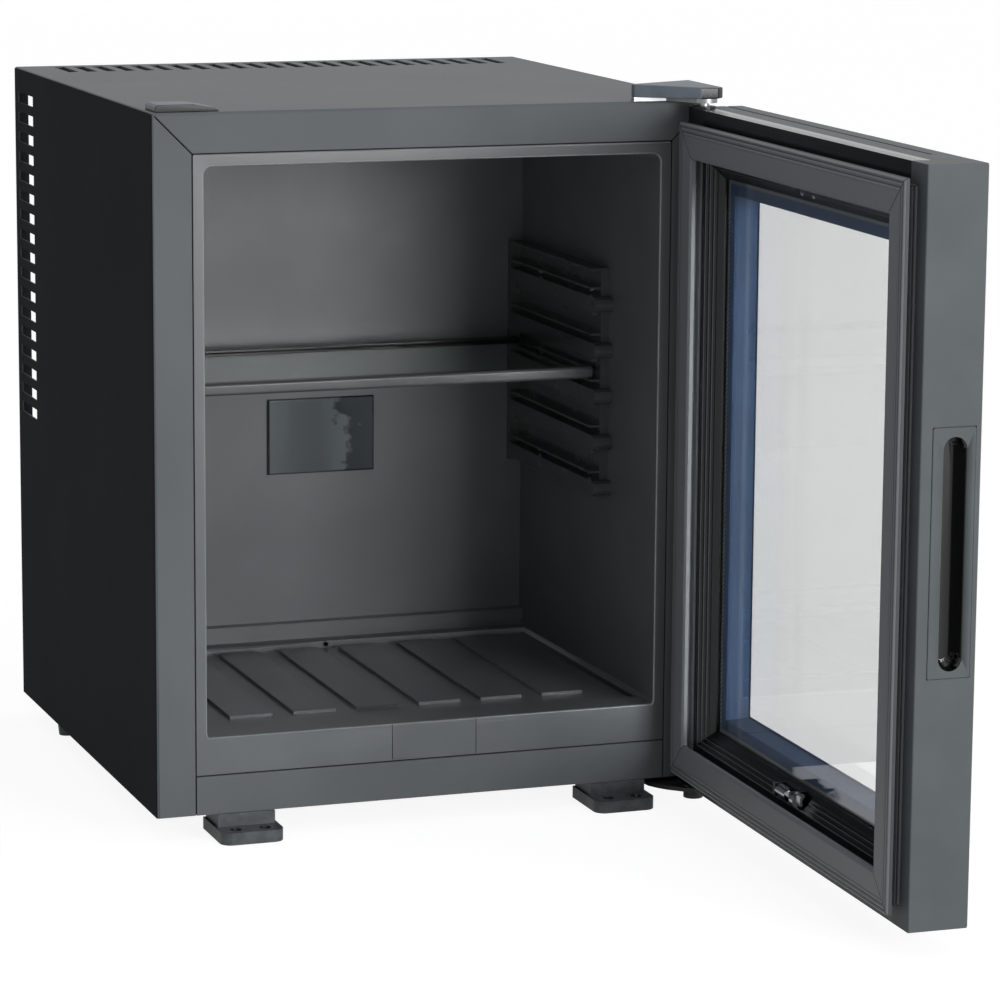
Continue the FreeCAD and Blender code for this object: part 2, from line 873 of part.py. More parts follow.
def top_hinge():
    """The steel plate screwed to the cabinet's top, reaching out to the door's pivot."""
    right = half_width - hinge_right_margin
    arm = [
        Vector(hinge_left, front, top),
        Vector(hinge_left, front + hinge_toe, top),
        Vector(right, front + hinge_rear, top),
        Vector(right, pivot_y, top),
        Vector(pivot_x - hinge_arm_radius * 0.8, pivot_y - hinge_arm_radius * 0.6, top),
        Vector(hinge_left + hinge_knee, front, top),
    ]
    plate = prism(arm, Vector(0, 0, hinge_plate))
    eye = Vector(pivot_x, pivot_y, top)
    plate = plate.fuse(many_sided(round_sides, hinge_arm_radius, eye, eye + Vector(0, 0, hinge_plate)))
    up = Vector(0, 0, hinge_plate)
    return plate.cut([rod(pin_radius, eye - up, eye + 2 * up)] + top_hinge_pilots()).removeSplitter()


def top_hinge_seats():
    """Screw places on the top hinge plate."""
    return [Vector(pivot_x + x, front + y, top + hinge_plate) for x, y in hinge_seat_places]


def top_hinge_pilots():
    """Holes under the top hinge's screws."""
    return [pilot(seat, Vector(0, 0, -1), hinge_screw_length) for seat in top_hinge_seats()]


def top_hinge_screws():
    """Three screws that hold the top hinge plate."""
    return [screw(seat, Vector(0, 0, -1), hinge_screw_length) for seat in top_hinge_seats()]


def top_pin():
    """The riveted pin that the door turns on at the top."""
    centre = Vector(pivot_x, pivot_y, top)
    up = Vector(0, 0, 1)
    shank = rod(pin_radius, Vector(pivot_x, pivot_y, door_top - pin_engagement), centre + up * hinge_plate)
    head = many_sided(round_sides, pin_head_radius, centre + up * hinge_plate, centre + up * (hinge_plate + pin_head))
    return shank.fuse(head)


def top_hinge_cover():
    """The wedge-shaped cap over the top hinge."""
    z = top + hinge_plate
    right = half_width + cover_side_proud
    nose = front - cover_nose
    corners = [
        Vector(hinge_left, front + cover_front_gap, z),
        Vector(hinge_left, front + cover_toe, z),
        Vector(right, front + cover_rear, z),
        Vector(right, nose + cover_corner, z),
        Vector(right - cover_corner, nose, z),
        Vector(pivot_x - cover_nose_side, nose, z),
    ]
    outline = Part.Face(Part.makePolygon(corners + corners[:1]))
    body = outline.extrude(Vector(0, 0, cover_left_height))
    hollow = outline.makeOffset2D(-cover_wall).extrude(Vector(0, 0, cover_right_height - cover_wall))
    slope = prism([
        Vector(hinge_left, nose, z + cover_left_height),
        Vector(right, nose, z + cover_right_height),
        Vector(right, nose, z + cover_left_height + sheet),
        Vector(hinge_left, nose, z + cover_left_height + sheet),
    ], Vector(0, cabinet_depth, 0))
    return body.cut([hollow, slope])


def spare_cap():
    """A low domed cap over the hinge holes that are not used."""
    left = -half_width + cap_side_gap
    y = front + cap_front_gap
    right = left + cap_width
    profile = [
        Vector(left, y, top),
        Vector(left, y, top + cap_height - cap_bevel_height),
        Vector(left + cap_bevel_width, y, top + cap_height),
        Vector(left + cap_flat_length, y, top + cap_height),
        Vector(right - cap_tail_length, y, top + cap_tail_height),
        Vector(right, y, top + cap_edge_height),
        Vector(right, y, top),
    ]
    return prism(profile, Vector(0, cap_depth, 0))


def lower_hinge():
    """The stepped plate under the cabinet that carries the door's weight."""
    low = base - lower_step - hinge_plate
    left = lower_plate_left - lower_plate_flare
    right = pivot_x + lower_plate_right
    rear = front + lower_plate_toe
    nose = pivot_y - lower_boss_radius
    swept = [(left + x, front + y) for x, y in lower_plate_curve]
    tip = [(pivot_x + x, nose + y) for x, y in lower_plate_tip]
    arm = prism([Vector(x, y, low) for x, y in [(left, rear)] + swept + tip + [(right, rear)]], Vector(0, 0, hinge_plate))
    step = block(left, right, rear - hinge_plate, rear, low, base)
    upper = block(left, right, rear - hinge_plate, front + lower_plate_rear, base - hinge_plate, base)
    boss_foot = Vector(pivot_x, pivot_y, low - lower_boss_height)
    boss = many_sided(round_sides, lower_boss_radius, boss_foot, boss_foot + Vector(0, 0, lower_boss_height))
    plate = arm.fuse([step, upper, boss])
    bottom = Vector(pivot_x, pivot_y, low - lower_boss_height - 1)
    return plate.cut([rod(pin_radius, bottom, Vector(pivot_x, pivot_y, base))] + lower_hinge_pilots()).removeSplitter()


def lower_hinge_seats():
    """Screw places under the lower hinge plate."""
    return [Vector(lower_plate_left + x, front + y, base - hinge_plate) for x, y in lower_seat_places]


def lower_hinge_pilots():
    """Holes above the lower hinge's screws."""
    return [pilot(seat, Vector(0, 0, 1), hinge_screw_length) for seat in lower_hinge_seats()]


def lower_hinge_screws():
    """Three screws that hold the lower hinge plate."""
    return [screw(seat, Vector(0, 0, 1), hinge_screw_length) for seat in lower_hinge_seats()]


def lower_pin():
    """The fixed pin under the door."""
    bottom = base - lower_step - hinge_plate - lower_boss_height
    return rod(pin_radius, Vector(pivot_x, pivot_y, bottom), Vector(pivot_x, pivot_y, door_base + pin_engagement))


def bush(z_face, inward):
    """A flanged nylon bush, pressed into the door's end face."""
    face = Vector(pivot_x, pivot_y, z_face)
    axis = Vector(0, 0, inward)
    sleeve = many_sided(bush_sides, bush_radius, face, face + axis * (pin_engagement + 1))
    flange = many_sided(round_sides, bush_flange, face - axis * bush_flange_height, face)
    bore = rod(pin_radius + pin_clearance, face - axis * 3, face + axis * (pin_engagement + 2))
    return sleeve.fuse(flange).cut(bore)


def bush_holes():
    """The holes in the door's ends that take the bushes."""
    top_face = Vector(pivot_x, pivot_y, door_top)
    low_face = Vector(pivot_x, pivot_y, door_base)
    up = Vector(0, 0, 1)
    depth = pin_engagement + 1
    return [many_sided(bush_sides, bush_radius, top_face - up * depth, top_face + up),
            many_sided(bush_sides, bush_radius, low_face - up, low_face + up * depth)]


# Door, modelled closed. A point of a section is (margin from the door's edge,
# setback from its inner face); positive setbacks go towards the front.

def ring(section):
    """A mitred frame that has one section all the way round the door."""
    x = hinge_edge
    z_mid = (door_top + door_base) / 2
    outline = [Vector(x - margin, inner_face - setback, z_mid) for margin, setback in section]
    corners = [Vector(x, 0, z_mid), Vector(x, 0, door_top), Vector(-x, 0, door_top),
               Vector(-x, 0, door_base), Vector(x, 0, door_base), Vector(x, 0, z_mid)]
    path = Part.makePolygon(corners)
    profile = Part.makePolygon(outline + outline[:1])
    return path.makePipeShell([profile], True, False, 1)


def side_wedge(side):
    """The part of the door's plane that belongs to one side, cut along its mitres."""
    x = hinge_edge + 1
    reach = mitre_reach
    low = door_base - 1
    high = door_top + 1
    outlines = {
        "top": [(-x, high), (x, high), (x - reach, high - reach), (reach - x, high - reach)],
        "bottom": [(-x, low), (x, low), (x - reach, low + reach), (reach - x, low + reach)],
        "hinge": [(x, low), (x, high), (x - reach, high - reach), (x - reach, low + reach)],
        "handle": [(-x, low), (-x, high), (reach - x, high - reach), (reach - x, low + reach)],
    }
    y = inner_face + gasket_proud + wedge_margin
    points = [Vector(px, y, pz) for px, pz in outlines[side]]
    return prism(points, Vector(0, -door_thickness - gasket_proud - 2 * wedge_margin, 0))


def lock_cut():
    """The recess in the lower lip that the lock sits in."""
    centre = lock_axis()
    half = lock_base_length / 2 + fit_gap
    start = -half - lock_disc_length - 2 * lock_gap
    tall = lock_disc_radius + fit_gap
    return block(start, half, centre.y - lock_barrel_radius - lock_base_depth, centre.y + lip_margin,
                 centre.z - tall, centre.z + tall)


def inner_profile(side):
    """A black moulding of the door's inner side, with the sloped lip that holds the glass."""
    section = [(0, 0), (lip_flat, 0), (lip_flat + lip_break, lip_break_depth), (lip_margin, lip_setback),
               (lip_margin, lip_setback + lip_thickness), (inner_pane_margin, lip_setback + lip_thickness),
               (inner_pane_margin - lip_break, frame_split), (0, frame_split)]
    piece = ring(section).common(side_wedge(side))
    piece = piece.cut(free_edge_zone()).cut(bush_holes())
    if side == "bottom":
        piece = piece.cut(lock_cut())
    if side == "top":
        piece = piece.cut(door_screw_holes())
    return piece.removeSplitter()


def outer_section():
    """The grey frame's section, with the rebate for the outer pane."""
    return [(0, frame_split), (frame_face, frame_split), (frame_face, outer_pane_setback),
            (outer_pane_margin, outer_pane_setback), (outer_pane_margin, outer_pane_setback + outer_pane),
            (bezel_margin, outer_pane_setback + outer_pane), (bezel_margin, door_thickness),
            (frame_edge, door_thickness), (0, door_thickness - frame_edge)]


def free_edge_zone():
    """The zone of the handle stile, which runs the door's full height."""
    edge = -hinge_edge
    return block(edge - 1, edge + frame_face, inner_face - door_thickness - 1, inner_face + 1,
                 door_base - 1, door_top + 1)


def outer_profile(side):
    """A grey moulding of the door's front frame."""
    piece = ring(outer_section()).common(side_wedge(side)).cut(free_edge_zone())
    if side in ("top", "bottom"):
        z = door_top if side == "top" else door_base
        groove = block(-hinge_edge + groove_stop, hinge_edge + 1, inner_face - groove_end,
                       inner_face - groove_start, z - frame_groove, z + frame_groove)
        piece = piece.cut(groove)
    return piece.cut(bush_holes()).removeSplitter()


def handle_stile():
    """The door's free edge: one full-height moulding that holds the pull handle."""
    edge = -hinge_edge
    front_part = ring(outer_section()).common(free_edge_zone())
    rear_part = block(edge, edge + frame_face, inner_face - frame_split, inner_face, door_base, door_top)
    rear_part = rounded_edges(rear_part, frame_edge,
                              lambda e: e.BoundBox.YMin > inner_face - 0.1 and e.BoundBox.XMax < edge + 0.1)
    return front_part.fuse(rear_part).cut(handle_room()).removeSplitter()


def handle_centre():
    """The middle of the pull on the free edge."""
    y = inner_face - pull_start - pull_width / 2
    return Vector(-hinge_edge, y, base + pull_bottom + pull_height / 2)


def pull_prism(grow, start, end):
    """The pull's round-ended outline as a prism that goes into the door's edge."""
    tool = slot_face(pull_height + 2 * grow, pull_width + 2 * grow, pull_width / 2 + grow - 0.01)
    tool = tool.extrude(Vector(0, 0, end - start))
    tool.rotate(Vector(0, 0, 0), Vector(0, 1, 0), 90)
    tool.translate(handle_centre() + Vector(start, 0, 0))
    return tool


def handle_room():
    """The hollow in the stile that takes the handle insert."""
    cup = pull_prism(pull_wall + fit_gap / 2, -1, pull_depth + pull_wall + fit_gap / 2)
    y0 = inner_face - handle_plate_end - fit_gap / 2
    y1 = inner_face - handle_plate_start + fit_gap / 2
    z0 = base + handle_bottom - fit_gap / 2
    depth = handle_plate - handle_proud
    seat = block(-hinge_edge - 1, -hinge_edge + depth, y0, y1, z0, z0 + handle_height + fit_gap)
    return cup.fuse(seat)


def handle_insert():
    """The pull: a plate with a dished finger slot."""
    x0 = -hinge_edge - handle_proud
    y0 = inner_face - handle_plate_end
    y1 = inner_face - handle_plate_start
    z0 = base + handle_bottom
    plate = block(x0, x0 + handle_plate, y0, y1, z0, z0 + handle_height)
    plate = plate.makeChamfer(handle_corner, [edge for edge in plate.Edges if edge.BoundBox.XLength > 1])
    cup = pull_prism(pull_wall, handle_plate - handle_proud, pull_depth + pull_wall)
    hollow = pull_prism(0, -handle_proud - 1, pull_depth)
    hollow = hollow.makeChamfer(pull_blend, [edge for edge in hollow.Edges
                                             if edge.BoundBox.XMin > -hinge_edge + pull_depth - 0.1])
    return plate.fuse(cup).cut(hollow)


def pane(margin, setback, thickness):
    """A sheet of glass with a margin to the door's edges."""
    x = hinge_edge - margin
    return block(-x, x, inner_face - setback - thickness, inner_face - setback,
                 door_base + margin, door_top - margin)


def spacer():
    """The aluminium spacer that seals the two panes."""
    near = lip_setback + lip_thickness + inner_pane
    far = outer_pane_setback
    outer = pane(spacer_margin, near, far - near)
    return outer.cut(pane(spacer_margin + spacer_width, near - 1, far - near + 2))


def gasket_sections():
    """The gasket's outline and the chamber for its magnet strips."""
    outer = gasket_margin
    inner = gasket_margin + gasket_width
    root, waist, swell, neck = bellows_levels
    outline = [
        (outer + gasket_root, 0), (inner - gasket_root, 0), (inner - gasket_root, -root),
        (inner - gasket_inner_waist, -waist), (inner - gasket_inner_swell, -swell), (inner - gasket_inner_waist, -neck),
        (inner, gasket_head - gasket_proud), (inner, gasket_head_edge - gasket_proud),
        (inner - gasket_head_slope, -gasket_proud), (outer + gasket_outer_slope, -gasket_proud),
        (outer, gasket_head_edge - gasket_proud), (outer, gasket_outer_head - gasket_proud),
        (outer + gasket_waist, -neck), (outer + gasket_root, -swell), (outer + gasket_waist, -waist),
        (outer + gasket_root, -root),
    ]
    near = outer + gasket_root
    far = near + magnet_width
    deep = magnet_cover + magnet_thickness
    chamber = [(near, -magnet_cover), (far, -magnet_cover), (far, -deep), (near, -deep)]
    return outline, chamber


def gasket():
    """The magnetic door seal with its bellows, welded at the mitres."""
    outline, chamber = gasket_sections()
    return ring(outline).cut(ring(chamber))


def magnets():
    """Four magnet strips inside the gasket, with free corners."""
    chamber = ring(gasket_sections()[1])
    corner = gasket_margin + gasket_width
    corners = []
    for side_x in (-1, 1):
        for z in (door_base, door_top - corner):
            x0 = side_x * hinge_edge - (corner if side_x > 0 else 0)
            corners.append(block(x0, x0 + corner, inner_face - 1, inner_face + gasket_proud + 1, z, z + corner))
    return chamber.cut(corners)


def door_screw_seats():
    """Where the heads of two small screws sit, in round pits in the upper lip's slope."""
    slope = (lip_setback - lip_break_depth) / (lip_margin - lip_flat - lip_break)
    setback = lip_break_depth + (door_screw_margin - lip_flat - lip_break) * slope + door_screw_depth
    return [Vector(x, inner_face - setback, door_top - door_screw_margin)
            for x in (-door_screw_spacing / 2, door_screw_spacing / 2)]


def door_screw_holes():
    """The pits in the lip, and the holes that the screws' shanks fill."""
    out = Vector(0, 1, 0)
    holes = []
    for seat in door_screw_seats():
        holes.append(pilot(seat, -out, door_screw_length))
        holes.append(many_sided(screw_head_sides, screw_head_radius + fit_gap, seat, seat + out * lip_setback))
    return holes


def door_screws():
    """Two small screws on the upper lip."""
    return [screw(seat, Vector(0, -1, 0), door_screw_length) for seat in door_screw_seats()]


def lock_axis():
    """The middle of the lock's barrel."""
    return Vector(0, inner_face - lock_setback, door_base + lock_height)


def lock_base():
    """The saddle that holds the lock's barrel in its recess."""
    centre = lock_axis()
    half = lock_base_length / 2
    low = centre.z - lock_base_width / 2
    high = centre.z + lock_base_width / 2
    seat = centre.y - lock_barrel_radius
    body = block(-half, half, seat - lock_base_depth, seat + 1, low, high)
    cradle = rod(lock_barrel_radius + fit_gap / 2, Vector(-half - 1, centre.y, centre.z),
                 Vector(half + 1, centre.y, centre.z))
    lugs = []
    for x in (-half, half - lock_gap):
        lugs.append(block(x, x + lock_gap, seat - 1, centre.y + lock_shaft_radius + 1.5, low, high))
    shaft = rod(lock_shaft_radius + pin_clearance, Vector(-half - 1, centre.y, centre.z),
                Vector(half + 1, centre.y, centre.z))
    return body.cut(cradle).fuse(lugs).cut(shaft).removeSplitter()


def lock_barrel():
    """The turning lock barrel with its shaft, end disc and turning tab."""
    centre = lock_axis()
    half = lock_base_length / 2
    barrel_start = half - lock_gap - fit_gap
    disc_start = -half - lock_gap / 3
    disc_end = disc_start - lock_disc_length

    def at(x):
        return Vector(x, centre.y, centre.z)

    barrel = many_sided(round_sides, lock_barrel_radius, at(barrel_start), at(barrel_start - lock_barrel_length))
    shaft = rod(lock_shaft_radius, at(half + 1), at(disc_start))
    disc = many_sided(round_sides, lock_disc_radius, at(disc_start), at(disc_end))
    tab = block(disc_end - lock_gap, disc_end, centre.y - 0.8, centre.y + 0.8, centre.z - lock_gap,
                centre.z + lock_gap)
    return barrel.fuse([shaft, disc, tab]).removeSplitter()


# Cooling unit

def unit_point(x, z):
    """A point in the cooling unit's plane."""
    return Vector(x, front + unit_plane, base + z)


def boiler_jacket():
    """The sheet jacket round the boiler's insulation."""
    foot = unit_point(boiler_x, boiler_bottom)
    head = unit_point(boiler_x, boiler_bottom + boiler_height)
    return many_sided(round_sides, boiler_radius, foot, head).cut(
        many_sided(round_sides, boiler_radius - boiler_sheet, foot, head))


def boiler_insulation():
    """Mineral wool between the boiler and its jacket."""
    foot = unit_point(boiler_x, boiler_bottom)
    head = unit_point(boiler_x, boiler_bottom + boiler_height)
    return many_sided(round_sides, boiler_radius - boiler_sheet, foot, head).cut([boiler_tube(), heater()])


def boiler_tube():
    """The upright tube in which the ammonia is boiled off, running up to the condenser and across it."""
    return pipe([unit_point(boiler_x, boiler_bottom - boiler_tail), unit_point(boiler_x, condenser_height),
                 unit_point(condenser_left, condenser_height - condenser_fall)], condenser_bend, tube_radius)


def heater():
    """The electric heater cartridge beside the boiler tube."""
    foot = unit_point(boiler_x - tube_radius - heater_radius - heater_gap, boiler_bottom - boiler_tail)
    return many_sided(tube_sides, heater_radius, foot, foot + Vector(0, 0, heater_length))


def condenser_fins():
    """Pressed fins on the condenser tube."""
    slope = -condenser_fall / (boiler_x - condenser_left)
    first = boiler_x - 2 * condenser_bend
    pitch = (first - condenser_left - fin_margin) / (fin_count - 1)
    fins = []
    for n in range(fin_count):
        x = first - n * pitch
        centre = unit_point(x, condenser_height + slope * (boiler_x - x))
        fin = block(x, x + fin_sheet, centre.y - fin_width / 2, centre.y + fin_width / 2,
                    centre.z - fin_height / 2, centre.z + fin_height / 2)
        fins.append(fin.cut(boiler_tube()))
    return fins


def evaporator_tube():
    """Two legs that end in the cold block: one from the condenser's low end, one on to the absorber coil."""
    y_block = insulation_back - evaporator_reach
    z_mid = plate_bottom + plate_height / 2
    end_height = coil_first + (coil_runs - 1) * coil_pitch + coil_rise
    spread = evaporator_spread

    def point(x, y, z):
        return Vector(x, front + y, base + z)

    inlet = pipe([
        point(condenser_left + tube_radius, unit_plane, condenser_height - condenser_fall - tube_radius),
        point(condenser_left + tube_radius, unit_plane, z_mid),
        point(-spread, unit_plane, z_mid),
        point(-spread, y_block, z_mid),
    ], evaporator_bend, evaporator_radius)
    outlet = pipe([
        point(spread, y_block, z_mid),
        point(spread, unit_plane, z_mid),
        point(spread, unit_plane, end_height),
        point(coil_end + joint_gap, unit_plane, end_height),
    ], evaporator_bend, evaporator_radius)
    return Part.makeCompound([inlet, outlet])


def absorber_coil():
    """The coil that climbs back and forth from the absorber vessel."""
    points = [unit_point(coil_left, vessel_height + vessel_radius * 0.7)]
    x_now, x_next = coil_left, coil_right
    for run in range(coil_runs):
        z = coil_first + run * coil_pitch
        x_end = coil_end if run == coil_runs - 1 else x_next
        points.append(unit_point(x_now, z))
        points.append(unit_point(x_end, z + coil_rise))
        x_now, x_next = x_next, x_now
    return pipe(points, coil_pitch / 2 - coil_rise / 2 - 1, tube_radius).cut(vessel())


def vessel():
    """The absorber vessel, a tank with dished ends."""
    left = unit_point(vessel_left, vessel_height)
    right = unit_point(vessel_right, vessel_height)
    tank = many_sided(round_sides, vessel_radius, left, right)
    return tank.makeChamfer(vessel_dish, [edge for edge in tank.Edges if edge.BoundBox.XLength < 1])


def liquid_pipe():
    """The pipe that returns the liquid from the vessel to the boiler tube."""
    level = vessel_height - liquid_pipe_drop
    start = unit_point(vessel_right - vessel_dish, level)
    return pipe([start, unit_point(boiler_x, level), unit_point(boiler_x, boiler_bottom - boiler_tail)],
                evaporator_bend, evaporator_radius).cut(vessel())


def straps():
    """The heights of the two straps, and the radius that each goes round."""
    return ((lower_strap_height, boiler_radius), (condenser_height - upper_strap_drop, tube_radius))


def strap(height, radius):
    """A sheet strap with two ears, bent round the boiler or its tube."""
    y = front + insulation_back + panel_sheet
    centre = unit_point(boiler_x, height)
    outer = radius + strap_sheet
    reach = centre.y + outer
    z0 = centre.z - strap_width / 2
    z1 = centre.z + strap_width / 2
    band = block(boiler_x - outer, boiler_x + outer, y, reach, z0, z1)
    band = band.makeChamfer(outer * strap_bevel, [edge for edge in band.Edges
                                                  if edge.BoundBox.ZLength > 1 and edge.BoundBox.YMin > y + 1])
    hollow = block(boiler_x - radius, boiler_x + radius, y - 1, reach - strap_sheet, z0 - 1, z1 + 1)
    hollow = hollow.makeChamfer(radius * strap_bevel, [edge for edge in hollow.Edges
                                                       if edge.BoundBox.ZLength > 1 and edge.BoundBox.YMin > y + 1])
    ears = [block(boiler_x - outer - strap_ear, boiler_x - radius, y, y + strap_sheet, z0, z1),
            block(boiler_x + radius, boiler_x + outer + strap_ear, y, y + strap_sheet, z0, z1)]
    return band.cut(hollow).fuse(ears).cut(strap_pilots()).removeSplitter()


def strap_seats():
    """Screw places in the ears of both straps."""
    y = front + insulation_back + panel_sheet + strap_sheet
    return [Vector(boiler_x + side * (radius + strap_sheet + strap_ear / 2), y, base + height)
            for height, radius in straps() for side in (-1, 1)]


def strap_pilots():
    """Holes for the strap screws."""
    return [pilot(seat, Vector(0, -1, 0)) for seat in strap_seats()]


def strap_screws():
    """The screws that hold the straps to the rear panel."""
    return [screw(seat, Vector(0, -1, 0)) for seat in strap_seats()]


def control_box():
    """The moulded box for the thermostat and the mains terminals."""
    y = front + insulation_back + panel_sheet
    z = base + control_bottom
    right = control_left + control_width
    box = block(control_left, right, y, y + control_depth, z, z + control_height)
    box = box.makeChamfer(control_chamfer, [edge for edge in box.Edges if edge.BoundBox.YMin > y + 1])
    hollow = block(control_left + control_wall, right - control_wall, y - 1, y + control_depth - control_wall,
                   z + control_wall, z + control_height - control_wall)
    gland_axis = gland_place()
    return box.cut([hollow, rod(gland_bore, gland_axis - Vector(0, control_depth, 0), gland_axis + Vector(0, 1, 0))])


def gland_place():
    """Where the mains gland sits on the control box."""
    return Vector(control_left + control_width / 2, front + insulation_back + panel_sheet + control_depth,
                  base + control_bottom + control_height / 4)


def mains_gland():
    """The gland for a mains cord."""
    face = gland_place()
    out = Vector(0, 1, 0)
    body = many_sided(screw_sides, gland_radius, face, face + out * gland_length)
    return body.cut(rod(gland_bore, face - out, face + out * (gland_length + 1)))


def terminal_block():
    """The terminals and thermostat inside the control box."""
    y = front + insulation_back + panel_sheet
    z = base + control_bottom
    return block(control_left + terminal_inset, control_left + control_width - terminal_inset, y, y + terminal_depth,
                 z + control_height - terminal_drop, z + control_height - terminal_inset)


def main():
    """Make every piece, turn the door to its open rest place and export them all."""
    hinge_base = Vector(pivot_x, pivot_y, 0)
    cabinet = {
        "outer_shell": outer_shell(),
        "base_pan": base_pan(),
        "liner": liner(),
        "threshold_cover": threshold_cover(),
        "insulation": insulation(),
        "rear_panel": rear_panel(),
        "cold_plate": cold_plate(),
        "cold_block": cold_block(),
        "drain_tube": drain_tube(),
        "drip_tray": drip_tray(),
        "shelf_rail_left": shelf_rail(-1),
        "shelf_rail_right": shelf_rail(1),
        "rail_screws": Part.makeCompound(rail_screws()),
        "front_foot_left": front_foot(-1),
        "front_foot_right": front_foot(1),
        "front_foot_screws": Part.makeCompound(front_foot_screws()),
        "rear_feet": Part.makeCompound([rear_foot(-1), rear_foot(1)]),
        "top_hinge_plate": top_hinge(),
        "hinge_screws": Part.makeCompound(top_hinge_screws() + lower_hinge_screws()),
        "top_hinge_pin": top_pin(),
        "top_hinge_cover": top_hinge_cover(),
        "spare_hole_cap": spare_cap(),
        "lower_hinge_plate": lower_hinge(),
        "lower_hinge_pin": lower_pin(),
    }
    shelf = {
        "shelf_glass": glass_shelf(),
        "shelf_front_trim": shelf_trim(front + shelf_front, 1),
        "shelf_rear_trim": shelf_trim(front + shelf_back, -1),
    }
    door = {
        "handle_stile": handle_stile(),
        "hinge_stile": outer_profile("hinge"),
        "top_rail": outer_profile("top"),
        "bottom_rail": outer_profile("bottom"),
        "inner_frame_hinge": inner_profile("hinge"),
        "inner_frame_handle": inner_profile("handle"),
        "inner_frame_top": inner_profile("top"),
        "inner_frame_bottom": inner_profile("bottom"),
        "outer_glass": pane(outer_pane_margin, outer_pane_setback, outer_pane),
        "inner_glass": pane(inner_pane_margin, lip_setback + lip_thickness, inner_pane),
        "glass_spacer": spacer(),
        "door_gasket": gasket(),
        "gasket_magnets": magnets(),
        "handle_insert": handle_insert(),
        "hinge_bushes": Part.makeCompound([bush(door_top, -1), bush(door_base, 1)]),
        "door_screws": Part.makeCompound(door_screws()),
        "lock_base": lock_base(),
        "lock_barrel": lock_barrel(),
    }
    cooling = {
        "boiler_jacket": boiler_jacket(),
        "boiler_insulation": boiler_insulation(),
        "boiler_tube": boiler_tube(),
        "heater_cartridge": heater(),
        "condenser_fins": Part.makeCompound(condenser_fins()),
        "evaporator_tube": evaporator_tube(),
        "absorber_coil": absorber_coil(),
        "absorber_vessel": vessel(),
        "liquid_pipe": liquid_pipe(),
        "boiler_strap": strap(*straps()[0]),
        "tube_strap": strap(*straps()[1]),
        "strap_screws": Part.makeCompound(strap_screws()),
        "control_box": control_box(),
        "terminal_block": terminal_block(),
        "mains_gland": mains_gland(),
    }
    os.makedirs("parts", exist_ok=True)
    for name, shape in door.items():
        door[name] = turned(shape, hinge_base)
    for group in (cabinet, shelf, door, cooling):
        for name, shape in group.items():
            shape.exportStep("parts/" + name + ".step")
            print(name, len(shape.Solids), round(shape.Volume), shape.isValid())


def turned(shape, hinge_base):
    """A door piece turned from closed to its open rest place."""
    moved = shape.copy()
    moved.rotate(hinge_base, Vector(0, 0, 1), door_open_angle)
    return moved


main()
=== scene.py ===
# %% [markdown]
# # A silent hotel-room fridge with a glass door
#
# The CAD model gives every piece its size and place. This script dresses that
# model: it softens the folded and moulded edges, draws the pieces that show
# fine detail again, and gives each piece the finish of the real one.
# All lengths are in metres. The door is on the -Y side and stands open.

import json
import math

import bmesh
import bpy
from mathutils import Matrix, Vector

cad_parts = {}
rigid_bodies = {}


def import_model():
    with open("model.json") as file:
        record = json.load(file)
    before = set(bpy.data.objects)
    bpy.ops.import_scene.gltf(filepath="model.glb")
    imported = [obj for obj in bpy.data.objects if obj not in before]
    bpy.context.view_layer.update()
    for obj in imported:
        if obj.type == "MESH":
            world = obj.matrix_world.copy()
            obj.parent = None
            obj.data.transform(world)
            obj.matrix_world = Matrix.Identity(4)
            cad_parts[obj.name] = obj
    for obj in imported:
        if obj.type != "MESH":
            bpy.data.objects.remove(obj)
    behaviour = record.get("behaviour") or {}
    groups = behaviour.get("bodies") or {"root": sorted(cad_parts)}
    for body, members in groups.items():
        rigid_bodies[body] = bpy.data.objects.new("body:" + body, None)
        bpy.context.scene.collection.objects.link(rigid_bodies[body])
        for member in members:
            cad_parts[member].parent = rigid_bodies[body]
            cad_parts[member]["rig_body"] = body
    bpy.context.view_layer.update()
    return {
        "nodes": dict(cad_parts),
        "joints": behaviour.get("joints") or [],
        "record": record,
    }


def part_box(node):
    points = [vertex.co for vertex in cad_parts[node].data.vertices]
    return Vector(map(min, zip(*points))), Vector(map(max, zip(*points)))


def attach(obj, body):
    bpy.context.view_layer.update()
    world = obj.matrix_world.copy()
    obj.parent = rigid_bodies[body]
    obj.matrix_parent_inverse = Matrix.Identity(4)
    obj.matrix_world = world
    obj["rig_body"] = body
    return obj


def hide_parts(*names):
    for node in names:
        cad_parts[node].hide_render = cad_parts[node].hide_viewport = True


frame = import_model()
cad_nodes = frame["nodes"]
mm = 0.001

# %% [markdown]
# ## Camera
# The photograph was taken from the left, a little above the fridge, with a
# long lens. The camera has no shift, so the uprights lean together slightly.

# %% Camera
camera_place = Vector((-0.8980, -2.8404, 0.7490))
camera_yaw = math.radians(19.70)
camera_pitch = math.radians(-10.57)
camera_roll = math.radians(-0.415)
camera_lens = 147.84

camera_data = bpy.data.cameras.new("camera")
camera_data.lens = camera_lens
camera_data.sensor_width = 36
camera_data.clip_end = 50
camera = bpy.data.objects.new("camera", camera_data)
bpy.context.scene.collection.objects.link(camera)
camera.matrix_world = (
    Matrix.Translation(camera_place)
    @ Matrix.Rotation(-camera_yaw, 4, "Z")
    @ Matrix.Rotation(math.pi / 2 + camera_pitch, 4, "X")
    @ Matrix.Rotation(-camera_roll, 4, "Z")
)
bpy.context.scene.camera = camera
bpy.context.scene.view_settings.view_transform = "Standard"

# %% [markdown]
# ## Finishes
# Each finish is a small graph of shader nodes. `graph_node` adds one node with
# its settings and links, and `finish` starts a material whose colour comes
# from the shader's own sockets. The patterns read Object coordinates, which
# are metres here, because every piece has its place in its mesh.

